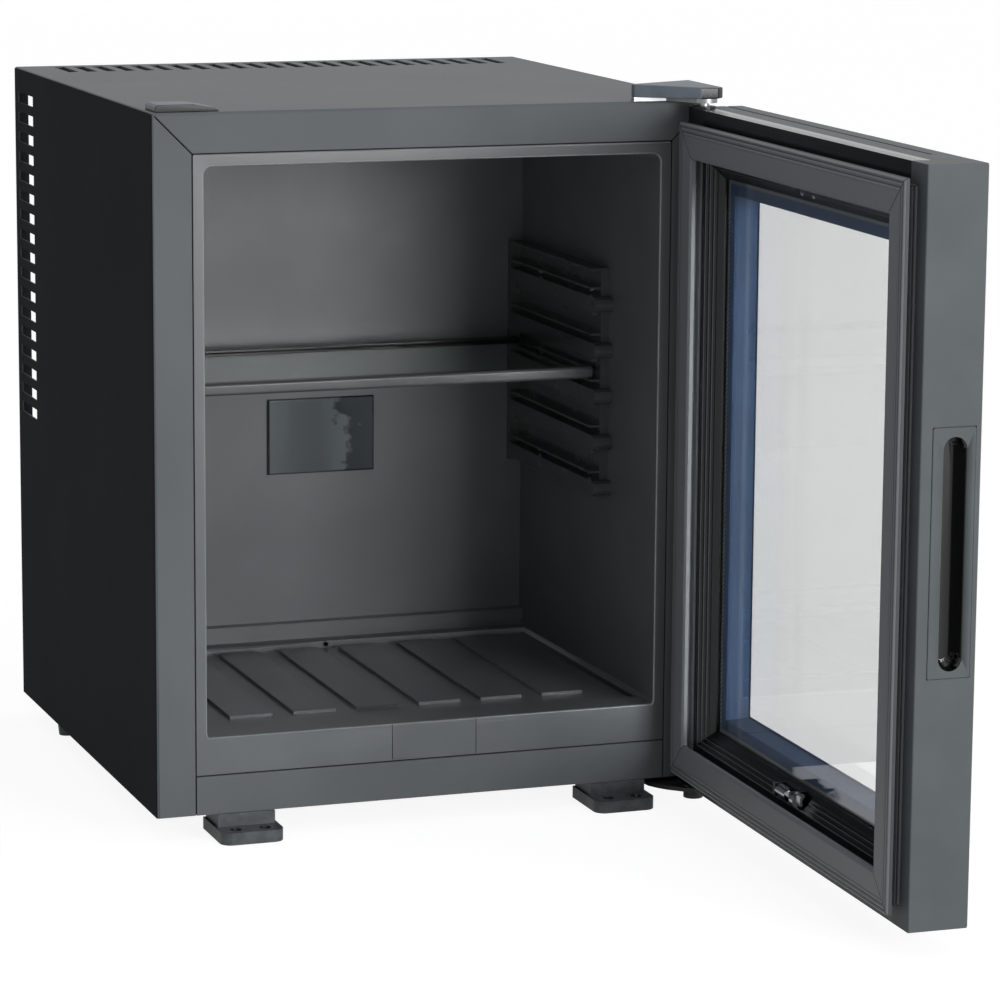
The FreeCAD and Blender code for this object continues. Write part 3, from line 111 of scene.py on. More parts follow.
# %% Helpers for the finishes
def srgb(code):
    """The linear colour of a hex code."""
    channels = [int(code[n:n + 2], 16) / 255 for n in (1, 3, 5)]
    linear = [c / 12.92 if c <= 0.04045 else ((c + 0.055) / 1.055) ** 2.4 for c in channels]
    return (*linear, 1.0)


def graph_node(material, kind, sockets=None, **settings):
    """Add a shader node; a socket takes a value or another node's output."""
    tree = material.node_tree
    made = tree.nodes.new("ShaderNode" + kind)
    for name, value in settings.items():
        setattr(made, name, value)
    for name, value in (sockets or {}).items():
        if isinstance(value, bpy.types.NodeSocket):
            tree.links.new(value, made.inputs[name])
        else:
            made.inputs[name].default_value = value
    return made


def finish(name, colour, roughness, **sockets):
    """A material with one principled shader; returns the material and the shader."""
    material = bpy.data.materials.new(name)
    material.use_nodes = True
    material.node_tree.nodes.clear()
    values = {"Base Color": srgb(colour), "Roughness": roughness}
    values.update({key.replace("_", " "): value for key, value in sockets.items()})
    shader = graph_node(material, "BsdfPrincipled", values)
    graph_node(material, "OutputMaterial", {"Surface": shader.outputs["BSDF"]})
    return material, shader


def place_pattern(material, stretch=(1, 1, 1)):
    """Object coordinates, stretched along the axes."""
    place = graph_node(material, "TexCoord")
    return graph_node(material, "Mapping", {"Vector": place.outputs["Object"], "Scale": stretch}).outputs["Vector"]


def feed(material, output, socket):
    """Feed a shader's socket from another node."""
    material.node_tree.links.new(output, socket)


def calc(material, operation, *values):
    """The result of a sum on values or on other nodes' outputs."""
    return graph_node(material, "Math", dict(enumerate(values)), operation=operation).outputs[0]


def blend(material, factor, first, second):
    """A mix of two colours, or of two values."""
    kind, at, result = ("RGBA", 6, 2) if isinstance(second, tuple) else ("FLOAT", 2, 0)
    return graph_node(material, "Mix", {0: factor, at: first, at + 1: second}, data_type=kind).outputs[result]


def place_axes(material):
    """The X, Y and Z of a point of the piece."""
    place = graph_node(material, "TexCoord")
    return graph_node(material, "SeparateXYZ", {"Vector": place.outputs["Object"]}).outputs


def relief(material, shader, height, proud):
    """Bump from a height between 0 and 1 that stands `proud` metres."""
    bump = graph_node(material, "Bump", {"Height": height, "Distance": proud, "Strength": 1.0})
    feed(material, bump.outputs["Normal"], shader.inputs["Normal"])


def two_tones(material, factor, dark, light, dark_at=0.3, light_at=0.7):
    """A ramp between two colours, or two values."""
    ramp = graph_node(material, "ValToRGB", {"Fac": factor})
    for end, position, value in zip(ramp.color_ramp.elements, (dark_at, light_at), (dark, light)):
        end.position = position
        end.color = srgb(value) if isinstance(value, str) else (value, value, value, 1)
    return ramp.outputs["Color"]


def grain(material, shader, size, height, stretch=(1, 1, 1), detail=2.0):
    """Fine relief: a noise whose lumps are `size` across and stand `height` proud."""
    noise = graph_node(material, "TexNoise", {"Vector": place_pattern(material, stretch), "Scale": 1 / size,
                                              "Detail": detail})
    relief(material, shader, noise.outputs["Fac"], height)


def mottle(material, shader, tones, size, socket="Base Color"):
    """Slow variation between two tones over the surface."""
    noise = graph_node(material, "TexNoise", {"Vector": place_pattern(material), "Scale": 1 / size, "Detail": 3.0})
    colour = two_tones(material, noise.outputs["Fac"], *tones)
    feed(material, colour, shader.inputs[socket])
    return colour


def surfaced(name, colour, roughness, lumps, tones, patch, stretch=(1, 1, 1), socket="Base Color", **sockets):
    """A finish with grain, whose lumps are (width, height), and two tones in patches, all in millimetres."""
    material, shader = finish(name, colour, roughness, **sockets)
    grain(material, shader, lumps[0] * mm, lumps[1] * mm, stretch)
    mottle(material, shader, tones, patch * mm, socket)
    return material


# %% [markdown]
# ### Powder coat on the folded sheet
# The shell is sheet steel, folded first and then coated. Powder coat has a
# slight orange-peel surface, about a millimetre from lump to lump. The front
# and the top have a satin grey coat. The side walls have a dull, darker one,
# which is partly their own darker paint and partly painted shade for the dim
# light on the sides.

# %% Powder coats
shell_coat = surfaced("satin_grey_powder_coat", "#626669", 0.5, (1.1, 0.010), ("#5f6366", "#666a6c"), 110,
                      Specular_IOR_Level=0.12)

# The side walls' darker coat is partly their own paint and partly painted shade.
side_coat_with_painted_shade = surfaced("dull_dark_coat_with_painted_shade", "#212327", 0.75, (1.3, 0.014), ("#1f2125", "#24262a"), 90,
                     Specular_IOR_Level=0.04)

# %% [markdown]
# ### Plastics
# The liner is a thermoformed tub with a soft sheen. Mouldings have a finer
# grain from the spark-eroded mould, and the rails are plain glossy black.

# %% Plastics
liner_sheet = surfaced("thermoformed_abs_liner", "#5a5e60", 0.34, (0.9, 0.006), ("#565a5c", "#5e6264"), 60)

# The pale tone on the bevel round the liner's opening is a painted highlight.
liner_edge_highlight = surfaced("liner_edge_painted_highlight", "#8f9495", 0.3, (0.8, 0.004), ("#878c8d", "#989d9e"), 30)

frame_plastic = surfaced("satin_moulded_frame", "#555a5c", 0.5, (0.5, 0.006), ("#52575a", "#595e60"), 45,
                         Specular_IOR_Level=0.15)

black_plastic = surfaced("extruded_black_frame", "#0c0d0e", 0.25, (0.5, 0.004), ("#0b0c0d", "#101112"), 40,
                         Specular_IOR_Level=0.3)

rail_plastic = surfaced("glossy_moulded_rails", "#434547", 0.2, (0.8, 0.004), ("#3e4042", "#484a4c"), 25)

trim_plastic = surfaced("extruded_shelf_trim", "#494c4e", 0.25, (0.6, 0.004), ("#45484a", "#4e5152"), 30,
                        stretch=(0.05, 1, 1))

foot_plastic = surfaced("grained_moulded_feet", "#3f4447", 0.4, (0.7, 0.03), ("#35393c", "#4e5356"), 7)

cover_plastic = surfaced("satin_moulded_cover", "#656d77", 0.45, (0.6, 0.01), ("#5f6771", "#6b737c"), 12,
                         Specular_IOR_Level=0.2)

cup_plastic = surfaced("polished_black_cup", "#0e0f10", 0.12, (1.5, 0.003), (0.09, 0.16), 8, socket="Roughness")

box_plastic = surfaced("grained_black_moulding", "#1c1d1f", 0.5, (0.6, 0.02), ("#191a1c", "#212224"), 10)

magnet_strip = surfaced("bonded_magnet_strip", "#262628", 0.6, (0.4, 0.01), ("#222224", "#2c2c2e"), 5)

turned_nylon = surfaced("turned_black_nylon", "#202123", 0.4, (0.4, 0.01), ("#1d1e20", "#252628"), 4,
                        stretch=(1, 1, 4))

# %% [markdown]
# ### Metals
# Plated and polished metals keep the usual metal response; what tells them
# apart is their roughness and the direction of the marks in them.

# %% Metals
zinc_plate = surfaced("zinc_plated_sheet", "#9da0a2", 0.38, (1.5, 0.008), ("#94979a", "#a8abad"), 14,
                      stretch=(0.2, 1, 1), Metallic=1.0)

screw_steel = surfaced("plated_steel_screw", "#b4b6b8", 0.28, (0.3, 0.006), ("#a6a9ab", "#c2c4c6"), 2, Metallic=1.0)

chrome = surfaced("chromed_zinc_lock", "#c9cbcd", 0.12, (0.5, 0.002), (0.09, 0.16), 3, socket="Roughness",
                  Metallic=1.0)

black_steel = surfaced("black_powder_coated_steel", "#1d1e20", 0.45, (0.7, 0.02), ("#191a1c", "#232426"), 9)

plate_aluminium, shader = finish("dark_anodised_plate", "#33393d", 0.14, Metallic=0.5)
grain(plate_aluminium, shader, 9 * mm, 0.05 * mm)
# The pale patch on the left of the plate, with its irregular edge, is a painted reflection.
reflection_patch_width, reflection_patch_drift = 30 * mm, 8.0
cloud = graph_node(plate_aluminium, "TexNoise", {"Vector": place_pattern(plate_aluminium),
                                                 "Scale": 1 / reflection_patch_width, "Detail": 4.0})
reflection_patch = calc(plate_aluminium, "MULTIPLY_ADD", place_axes(plate_aluminium)["X"], reflection_patch_drift, cloud.outputs["Fac"])
feed(plate_aluminium, two_tones(plate_aluminium, reflection_patch, "#5f6567", "#2b3135", 0.60, 0.64),
     shader.inputs["Base Color"])

block_aluminium = surfaced("milled_aluminium_block", "#c6c8ca", 0.35, (0.8, 0.01), ("#bcbec0", "#d0d2d3"), 6,
                           stretch=(1, 1, 6), Metallic=1.0)

unit_lacquer = surfaced("black_lacquer_on_steel_tube", "#191a1b", 0.3, (2.2, 0.03), ("#151617", "#202122"), 20)

galvanised, shader = finish("galvanised_jacket", "#a4a8aa", 0.4, Metallic=1.0)
grain(galvanised, shader, 6 * mm, 0.01 * mm)
flake_width = 9 * mm
spangle = graph_node(galvanised, "TexVoronoi", {"Vector": place_pattern(galvanised), "Scale": 1 / flake_width})
feed(galvanised, two_tones(galvanised, spangle.outputs["Color"], "#94989a", "#b6babc", 0.0, 1.0),
     shader.inputs["Base Color"])

# %% [markdown]
# ### Foam, wool and glass
# Rigid foam is cream-coloured with tiny cells, and mineral wool is matted
# fibre. Where the foam meets the front it is painted near-black as painted
# shade, so that the seams between shell and liner show dark. The panes are
# clear glass, which takes its look from refraction; each pane dims what is
# behind it a little. The band on the outer pane is ceramic ink, seen through the
# inner one.

# %% Foam, wool and glass
foam, shader = finish("rigid_foam", "#dccfa2", 0.9)
grain(foam, shader, 1.2 * mm, 0.2 * mm)
cells = mottle(foam, shader, ("#d3c597", "#e4d8ae"), 18 * mm)
# The front of the foam is painted near-black as painted shade in the seams.
shaded_seam_depth = -196 * mm
in_shaded_seam = calc(foam, "LESS_THAN", place_axes(foam)["Y"], shaded_seam_depth)
feed(foam, blend(foam, in_shaded_seam, cells, srgb("#1b1c1d")), shader.inputs["Base Color"])

wool, shader = finish("mineral_wool", "#b5a877", 0.95)
grain(wool, shader, 1.6 * mm, 0.5 * mm, stretch=(1, 1, 0.3), detail=6.0)
mottle(wool, shader, ("#a69a69", "#c4b88a"), 5 * mm)

float_glass, shader = finish("toughened_float_glass", "#fdfefe", 0.0, Transmission_Weight=1.0, IOR=1.45)
mottle(float_glass, shader, ("#fbfdfc", "#ffffff"), 160 * mm)

shelf_pane, shader = finish("shelf_glass_with_ground_edges", "#cfdcd8", 0.02, Transmission_Weight=1.0, IOR=1.5)
mottle(shelf_pane, shader, ("#c8d6d2", "#d6e2de"), 120 * mm)

printed_band = surfaced("fired_ceramic_ink", "#2a3d59", 0.7, (0.4, 0.003), ("#273953", "#2e4260"), 50,
                        Specular_IOR_Level=0.15)

# %% [markdown]
# ### Lines that follow the door's outline
# The seal is extruded with ribs and welded at its mitred corners, and the
# inner pane has a printed line of dots. Both run round the door, so their
# patterns are laid out by the distance from its outline. `door_margin` turns
# the open door's coordinates back to the closed door and measures it. The
# seal's rib troughs are painted darker and its crests paler, as painted shade
# and highlight. The sloped lip inside the seal has ribs at three depths, whose
# crests are painted paler as painted highlights.

# %% Patterns round the door
door = {joint["name"]: joint for joint in frame["joints"]}["door_hinge"]
hinge_point = Vector(door["pos_m"])
door_angle = math.radians(88.9)
door_half_width = 199.5 * mm
door_inner_face = -211 * mm
door_low, door_high = 16.3 * mm, 496.1 * mm
door_open = (Matrix.Translation(hinge_point) @ Matrix.Rotation(door_angle, 4, "Z")
             @ Matrix.Translation(-hinge_point))


def closed_door_axes(material):
    """The X, Y and Z of a point of the door as if the door were closed."""
    place = graph_node(material, "TexCoord")
    back = Matrix.Rotation(-door_angle, 4, "Z")
    shift = hinge_point - back @ hinge_point
    closed = graph_node(material, "Mapping", {"Vector": place.outputs["Object"], "Rotation": (0, 0, -door_angle),
                                              "Location": shift})
    return graph_node(material, "SeparateXYZ", {"Vector": closed.outputs["Vector"]}).outputs


def door_margin(material):
    """The distance of a point from the nearest edge of the door, and from the corners' mitre."""
    axes = closed_door_axes(material)
    side = calc(material, "SUBTRACT", door_half_width, calc(material, "ABSOLUTE", axes["X"]))
    below = calc(material, "SUBTRACT", axes["Z"], door_low)
    above = calc(material, "SUBTRACT", door_high, axes["Z"])
    nearest = calc(material, "MINIMUM", below, above)
    apart = calc(material, "SUBTRACT", side, nearest)
    return calc(material, "MINIMUM", side, nearest), calc(material, "ABSOLUTE", apart)


def waves(material, distance, pitch):
    """A wave between 0 and 1 that repeats every `pitch` of a distance."""
    wave = calc(material, "SINE", calc(material, "MULTIPLY", distance, 2 * math.pi / pitch))
    return graph_node(material, "MapRange", {"Value": wave, "From Min": -1.0, "From Max": 1.0}).outputs[0]


rib_pitch, ribbed_until, weld_width = 3.2 * mm, 18 * mm, 0.5 * mm
seal_rubber, shader = finish("soft_magnetic_seal", "#5d6163", 0.5, Specular_IOR_Level=0.3)
margin, from_mitre = door_margin(seal_rubber)
is_flat = calc(seal_rubber, "GREATER_THAN", margin, ribbed_until)
ribs = calc(seal_rubber, "MAXIMUM", waves(seal_rubber, margin, rib_pitch), is_flat)
relief(seal_rubber, shader, ribs, 0.5 * mm)
# Rib troughs are painted darker and crests paler: painted shade and highlight.
rib_painted_shade = two_tones(seal_rubber, ribs, "#34373a", "#787c7f", 0.02, 0.2)
welded = calc(seal_rubber, "LESS_THAN", from_mitre, weld_width)
feed(seal_rubber, blend(seal_rubber, welded, rib_painted_shade, srgb("#2a2c2e")), shader.inputs["Base Color"])

lip_pitch, lip_lines_end = 2.2 * mm, 7.0 * mm
ribbed_frame, shader = finish("ribbed_black_frame", "#141618", 0.22, Specular_IOR_Level=0.4)
setback = calc(ribbed_frame, "SUBTRACT", door_inner_face, closed_door_axes(ribbed_frame)["Y"])
in_lines = calc(ribbed_frame, "LESS_THAN", setback, lip_lines_end)
rib_lines_and_highlights = calc(ribbed_frame, "MULTIPLY", waves(ribbed_frame, setback, lip_pitch), in_lines)
relief(ribbed_frame, shader, rib_lines_and_highlights, 0.25 * mm)
# The crests of the lip's ribs are painted pale as painted highlights.
feed(ribbed_frame, two_tones(ribbed_frame, rib_lines_and_highlights, "#141618", "#4c4e50", 0.85, 0.99), shader.inputs["Base Color"])

dot_pitch = 3.2 * mm
dotted_ink, shader = finish("dotted_ceramic_ink", "#45484b", 0.6, Specular_IOR_Level=0.2)
axes = closed_door_axes(dotted_ink)
dots = waves(dotted_ink, calc(dotted_ink, "ADD", axes["X"], axes["Z"]), dot_pitch)
feed(dotted_ink, two_tones(dotted_ink, dots, "#1c1e20", "#8d9194", 0.5, 0.75), shader.inputs["Base Color"])

# %% [markdown]
# ## Carried-over pieces
# Pieces whose CAD shape is right keep it, and only get their finish.

# %% Give the CAD nodes their finishes
finishes = {
    "shell_paint": shell_coat, "liner_plastic": liner_sheet, "foam": foam, "plated_steel": zinc_plate,
    "plate_aluminium": plate_aluminium, "block_aluminium": block_aluminium, "rail_plastic": rail_plastic,
    "trim_plastic": trim_plastic, "clear_glass": float_glass, "screw_steel": screw_steel,
    "foot_plastic": foot_plastic, "cover_plastic": cover_plastic, "black_steel": black_steel,
    "frame_grey": frame_plastic, "frame_black": black_plastic, "seal_rubber": seal_rubber,
    "magnet": magnet_strip, "bush_nylon": turned_nylon, "lock_chrome": chrome,
    "spacer_aluminium": printed_band, "unit_paint": unit_lacquer, "jacket_sheet": galvanised,
    "mineral_wool": wool, "tray_plastic": box_plastic,
}
slot_of = {part["node"]: part["material_slot"] for part in frame["record"]["subparts"]}
for name, thing in cad_nodes.items():
    for slot in thing.material_slots:
        slot.material = finishes[slot_of[name]]

# %% [markdown]
# ## Softened edges
# No folded, moulded or ground edge is perfectly sharp: each catches a thin
# line of light. `softened` takes a copy of CAD nodes, merges its loose
# triangles into faces again and bevels the edges that turn sharply. The copy
# then stands for the node.

# %% The softening helper
def merged_copy(node_name):
    """A node's mesh as a bmesh of whole faces."""
    shape = bmesh.new()
    shape.from_mesh(cad_nodes[node_name].data)
    bmesh.ops.remove_doubles(shape, verts=shape.verts, dist=0.002 * mm)
    bmesh.ops.dissolve_limit(shape, angle_limit=math.radians(0.6), verts=shape.verts, edges=shape.edges)
    return shape


def sharp_edges(shape, turn=28, where=None):
    """Edges where two faces turn by more than `turn` degrees, and for which where(middle) is true."""
    found = []
    for edge in shape.edges:
        if len(edge.link_faces) == 2 and edge.calc_face_angle(0) > math.radians(turn):
            middle = (edge.verts[0].co + edge.verts[1].co) / 2
            if where is None or where(middle):
                found.append(edge)
    return found


def bevelled(shape, edges, width, segments=2, clamp=True):
    """Bevel edges of a bmesh."""
    bmesh.ops.bevel(shape, geom=edges, offset=width, offset_type="OFFSET", affect="EDGES", segments=segments,
                    profile=0.5, material=-1, clamp_overlap=clamp)


def new_verts(made):
    """The vertices in an operator's result."""
    return [item for item in made["geom"] if isinstance(item, bmesh.types.BMVert)]


def raised(shape, faces, way):
    """Extrude faces and move them."""
    bmesh.ops.translate(shape, verts=new_verts(bmesh.ops.extrude_face_region(shape, geom=faces)), vec=way)


def put_in_scene(shape, name, body, materials, replaced=(), smooth=35, second=None):
    """Make the bmesh a piece that rides on a body and stands for CAD nodes.

    Faces for which second(face) is true take the second material."""
    if second is not None:
        for face in shape.faces:
            face.material_index = int(second(face))
    mesh = bpy.data.meshes.new(name)
    shape.to_mesh(mesh)
    shape.free()
    for polygon in mesh.polygons:
        polygon.use_smooth = smooth > 0
    if smooth > 0:
        mesh.set_sharp_from_angle(angle=math.radians(smooth))
    for material in materials:
        mesh.materials.append(material)
    piece = bpy.data.objects.new(name, mesh)
    bpy.context.scene.collection.objects.link(piece)
    if smooth > 0:
        flatness = piece.modifiers.new("flat_faces_stay_flat", "WEIGHTED_NORMAL")
        flatness.keep_sharp = True
    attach(piece, body)
    if replaced:
        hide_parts(*replaced)
    return piece


def softened(node_name, width, segments=2, where=None, also=None, second=None):
    """A copy of a CAD node with its sharp edges bevelled."""
    shape = merged_copy(node_name)
    if width > 0:
        bevelled(shape, sharp_edges(shape, where=where), width, segments)
    slot = slot_of[node_name]
    materials = [finishes[slot]] + ([also] if also else [])
    return put_in_scene(shape, "soft_" + node_name, cad_nodes[node_name]["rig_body"], materials,
                        [node_name], 40, second)


# %% [markdown]
# The edge widths are those of the real processes: about half a millimetre on
# moulded and extruded plastic, and a third on sheet metal.

# %% Soften the moulded and ground pieces
edge_widths = {
    "inner_frame_hinge": 0.4, "inner_frame_handle": 0.4, "inner_frame_top": 0.4, "inner_frame_bottom": 0.4,
    "shelf_front_trim": 0.5, "shelf_rear_trim": 0.5,
    "shelf_rail_left": 0.7, "shelf_rail_right": 0.7,
    "cold_plate": 0.3, "control_box": 0.6, "drip_tray": 0.4, "top_hinge_plate": 0.3, "lower_hinge_plate": 0.4,
}
for name, width in edge_widths.items():
    piece = softened(name, width * mm)
    print(piece.name, len(piece.data.polygons), "faces")
bpy.data.objects["soft_shelf_rear_trim"].material_slots[0].material = black_plastic
for side in ("hinge", "handle", "top", "bottom"):
    bpy.data.objects["soft_inner_frame_" + side].material_slots[0].material = ribbed_frame

# %% [markdown]
# The panes lie in their seats on a film of adhesive. The film also keeps the
# glass from sharing a surface with its seat, which would show as dark marks.
# Clear glass hardly dims the lamps, so the panes cast no shadow.

# %% Panes
adhesive_film = 0.06 * mm


def bedded_pane(node_name, edge_width, glass, turn):
    """A pane, ground at its edges and smaller than its seat by the film on every side."""
    shape = merged_copy(node_name)
    bmesh.ops.transform(shape, verts=shape.verts, matrix=turn.inverted())
    corners = [vert.co.copy() for vert in shape.verts]
    low, high = (Vector([pick(corner[n] for corner in corners) for n in range(3)]) for pick in (min, max))
    sizes = [1 - 2 * adhesive_film / length for length in high - low]
    bmesh.ops.scale(shape, verts=shape.verts, vec=sizes, space=Matrix.Translation(-(low + high) / 2))
    bmesh.ops.transform(shape, verts=shape.verts, matrix=turn)
    bevelled(shape, sharp_edges(shape), edge_width)
    pane = put_in_scene(shape, "soft_" + node_name, cad_nodes[node_name]["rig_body"], [glass],
                        [node_name], smooth=40)
    pane.visible_shadow = False
    print(node_name, [round(length / mm, 2) for length in high - low])


bedded_pane("outer_glass", 0.4 * mm, float_glass, door_open)
bedded_pane("inner_glass", 0.4 * mm, float_glass, door_open)
bedded_pane("shelf_glass", 0.5 * mm, shelf_pane, Matrix.Identity(4))

# %% [markdown]
# Some pieces show two surfaces. The shell keeps its folds and takes the dull
# coat on its two side walls, darker partly as painted shade. The liner is cut
# out along its opening, and the bevel on that edge is painted paler as a
# painted highlight. The pull is two mouldings: a grey plate, and a black cup
# behind it. The hinge cover ends in a black cap. The ink on the outer pane
# reaches its edge, so from outside the rebate of the grey frame shows as ink.

# %% Pieces with two surfaces
def on_side_wall(face):
    """True on the outer side walls."""
    return abs(face.normal.x) > 0.75 and abs(face.calc_center_median().x) > 199 * mm


softened("outer_shell", 0, also=side_coat_with_painted_shade, second=on_side_wall)

opening_side, opening_low, opening_high = 164 * mm, 71.8 * mm, 463.5 * mm
corner_reach, front_reach = 2.5 * mm, 1.5 * mm
liner_front, liner_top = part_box("liner")[0].y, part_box("liner")[1].z


def round_the_opening(point):
    """True on the front edge of the liner's opening."""
    beside = abs(abs(point.x) - opening_side) < corner_reach
    above = min(abs(point.z - level) for level in (opening_low, opening_high, liner_top)) < corner_reach
    return abs(point.y - liner_front) < front_reach and (beside or above)


def on_highlit_bevel(face):
    """True on the narrow bevel round the opening."""
    middle = face.calc_center_median()
    return round_the_opening(middle) and 0.2 < -face.normal.y < 0.97


# The bevel round the opening takes the pale finish as a painted highlight.
softened("liner", 0.9 * mm, segments=1, where=round_the_opening, also=liner_edge_highlight, second=on_highlit_bevel)

pull_low, pull_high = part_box("handle_insert")
pull_middle = (pull_low + pull_high) / 2
plate_depth, slot_half_width, slot_end_margin = 2.2 * mm, 9 * mm, 3 * mm


def in_the_cup(face):
    """True inside the finger slot."""
    middle = face.calc_center_median()
    return middle.y > pull_low.y + plate_depth or (
        abs(face.normal.y) < 0.6 and abs(middle.x - pull_middle.x) < slot_half_width
        and abs(middle.z - pull_middle.z) < (pull_high.z - pull_low.z) / 2 - slot_end_margin)


def on_plate_outline(point):
    """True on the outline of the pull's plate."""
    at_side = min(abs(point.x - pull_low.x), abs(point.x - pull_high.x)) < 0.5 * mm
    at_end = min(abs(point.z - pull_low.z), abs(point.z - pull_high.z)) < 0.5 * mm
    return at_side or at_end


softened("handle_insert", 0.8 * mm, segments=2, where=on_plate_outline, also=cup_plastic, second=in_the_cup)

outer_pane_setback = 33 * mm


def under_the_pane(face):
    """True on the frame's rebate, which the outer pane lies on."""
    closed = door_open.inverted() @ face.calc_center_median()
    outwards = door_open.inverted().to_3x3() @ face.normal
    return abs(closed.y - door_inner_face + outer_pane_setback) < 0.3 * mm and outwards.y < -0.9


for name, width in (("handle_stile", 0.7), ("hinge_stile", 0.5), ("top_rail", 0.5), ("bottom_rail", 0.5)):
    piece = softened(name, width * mm, also=printed_band, second=under_the_pane)
    print(name, sum(polygon.material_index for polygon in piece.data.polygons), "faces behind the pane")

cap_length = 14 * mm
cover_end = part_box("top_hinge_cover")[1].x - cap_length
softened("top_hinge_cover", 1.0 * mm, also=black_plastic,
         second=lambda face: face.calc_center_median().x > cover_end and face.normal.z < 0.7)
softened("spare_hole_cap", 0.6 * mm, also=black_plastic, second=lambda face: face.normal.z < 0.5)

# %% [markdown]
# The cover strip in the threshold fills its whole height and lies almost
# flush. A slightly wider black plate behind it stands for the dark gap at each
# end, as painted shade.

# %% Threshold cover
strip_low, strip_high = 46.2 * mm, 71.0 * mm


def threshold_strip(wider, proud):
    """The cover's CAD shape, stretched to the height of the threshold."""
    shape = merged_copy("threshold_cover")
    low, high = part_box("threshold_cover")
    stretch = Matrix.Diagonal((1 + wider / high.x, proud / (liner_front - low.y),
                               (strip_high - strip_low) / (high.z - low.z), 1))
    bmesh.ops.transform(shape, verts=shape.verts, matrix=Matrix.Translation((0, liner_front, strip_low))
                        @ stretch @ Matrix.Translation((0, -liner_front, -low.z)))
    bevelled(shape, sharp_edges(shape), 0.15 * mm)
    return shape


put_in_scene(threshold_strip(0, 0.3 * mm), "soft_threshold_cover", "cabinet", [liner_sheet],
             ["threshold_cover"])
# The black plate behind the strip is painted shade for the gap at its ends.
put_in_scene(threshold_strip(0.5 * mm, 0.12 * mm), "threshold_gap_painted_shade", "cabinet", [black_plastic])

# %% [markdown]
# The feet are moulded with two screw holes in the front plate. The holes are
# countersunk, and the countersinks are painted black as painted shade for the
# dark inside them.

# %% Feet with countersunk holes
foot_plate_top, foot_hole_line, foot_hole_step = 8.5 * mm, -211.5 * mm, 10.4 * mm
hole_reach, sink_shade_reach, clear_reach = 3.2 * mm, 4.4 * mm, 8 * mm
sink_width, foot_edge = 1.5 * mm, 0.7 * mm
for node_name in ("front_foot_left", "front_foot_right"):
    shape = merged_copy(node_name)
    low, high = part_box(node_name)
    holes = [Vector(((low.x + high.x) / 2 + side * foot_hole_step, foot_hole_line)) for side in (-1, 1)]

    def at_hole(point, reach):
        """True within a reach of a hole's axis."""
        return min((Vector(point[:2]) - hole).length for hole in holes) < reach

    rims = sharp_edges(shape, where=lambda point: at_hole(point, hole_reach)
                       and abs(point.z - foot_plate_top) < 0.3 * mm)
    bevelled(shape, rims, sink_width, segments=1, clamp=False)
    bevelled(shape, sharp_edges(shape, where=lambda point: not at_hole(point, clear_reach)), foot_edge)
    # The countersink faces take black as painted shade.
    put_in_scene(shape, "soft_" + node_name, "cabinet", [foot_plastic, black_plastic], [node_name],
                 second=lambda face: at_hole(face.calc_center_median(), sink_shade_reach) and face.normal.z < 0.95)
    print(node_name, "rim edges", len(rims))

# %% [markdown]
# ## Screws
# Small pan-head screws with a cross recess. A grid of five by five cells makes
# the recess easy: the five cells of the cross are pushed down, the rim of the
# grid is drawn into a circle, and the rim is then extruded down to the tip.

# %% Cross-head screws
head_radius, head_height, shank_radius = 2.05 * mm, 1.5 * mm, 1.5 * mm
recess_depth, top_share, tip_radius, tip_length = 0.9 * mm, 0.82, 0.3 * mm, 0.8 * mm
grid_lines = {-2: -1.25 * mm, -1: -0.32 * mm, 1: 0.32 * mm, 2: 1.25 * mm}


def add_screw(shape, seat, direction, length):
    """Add a screw whose head stands on the seat and whose shank goes in the direction."""
    others = set(shape.verts)
    grid = bmesh.ops.create_grid(shape, x_segments=5, y_segments=5, size=2.5)["verts"]
    cells = {face for vert in grid for face in vert.link_faces}
    cross = [face for face in cells if sum(abs(c) for c in face.calc_center_median()) < 1.2]
    rim = list({edge for vert in grid for edge in vert.link_edges if edge.is_boundary})
    for vert in grid:
        if max(abs(vert.co.x), abs(vert.co.y)) > 2.4:
            vert.co = vert.co.normalized() * top_share * head_radius
        else:
            vert.co = Vector([grid_lines[round(c * 1.01)] for c in vert.co[:2]] + [0])
    bmesh.ops.translate(shape, verts=grid, vec=(0, 0, head_height))
    raised(shape, cross, (0, 0, -recess_depth))
    radius, level = top_share * head_radius, head_height
    for next_radius, next_level in ((head_radius, 0.6 * head_height), (head_radius, 0), (shank_radius, 0),
                                    (shank_radius, tip_length - length), (tip_radius, -length)):
        made = bmesh.ops.extrude_edge_only(shape, edges=rim)
        bmesh.ops.scale(shape, verts=new_verts(made), vec=(next_radius / radius, next_radius / radius, 1))
        bmesh.ops.translate(shape, verts=new_verts(made), vec=(0, 0, next_level - level))
        rim = [item for item in made["geom"] if isinstance(item, bmesh.types.BMEdge)]
        radius, level = next_radius, next_level
    bmesh.ops.holes_fill(shape, edges=rim, sides=0)
    turn = (-Vector(direction)).to_track_quat("Z", "Y").to_matrix().to_4x4()
    bmesh.ops.transform(shape, verts=[vert for vert in shape.verts if vert not in others],
                        matrix=Matrix.Translation(seat) @ turn)


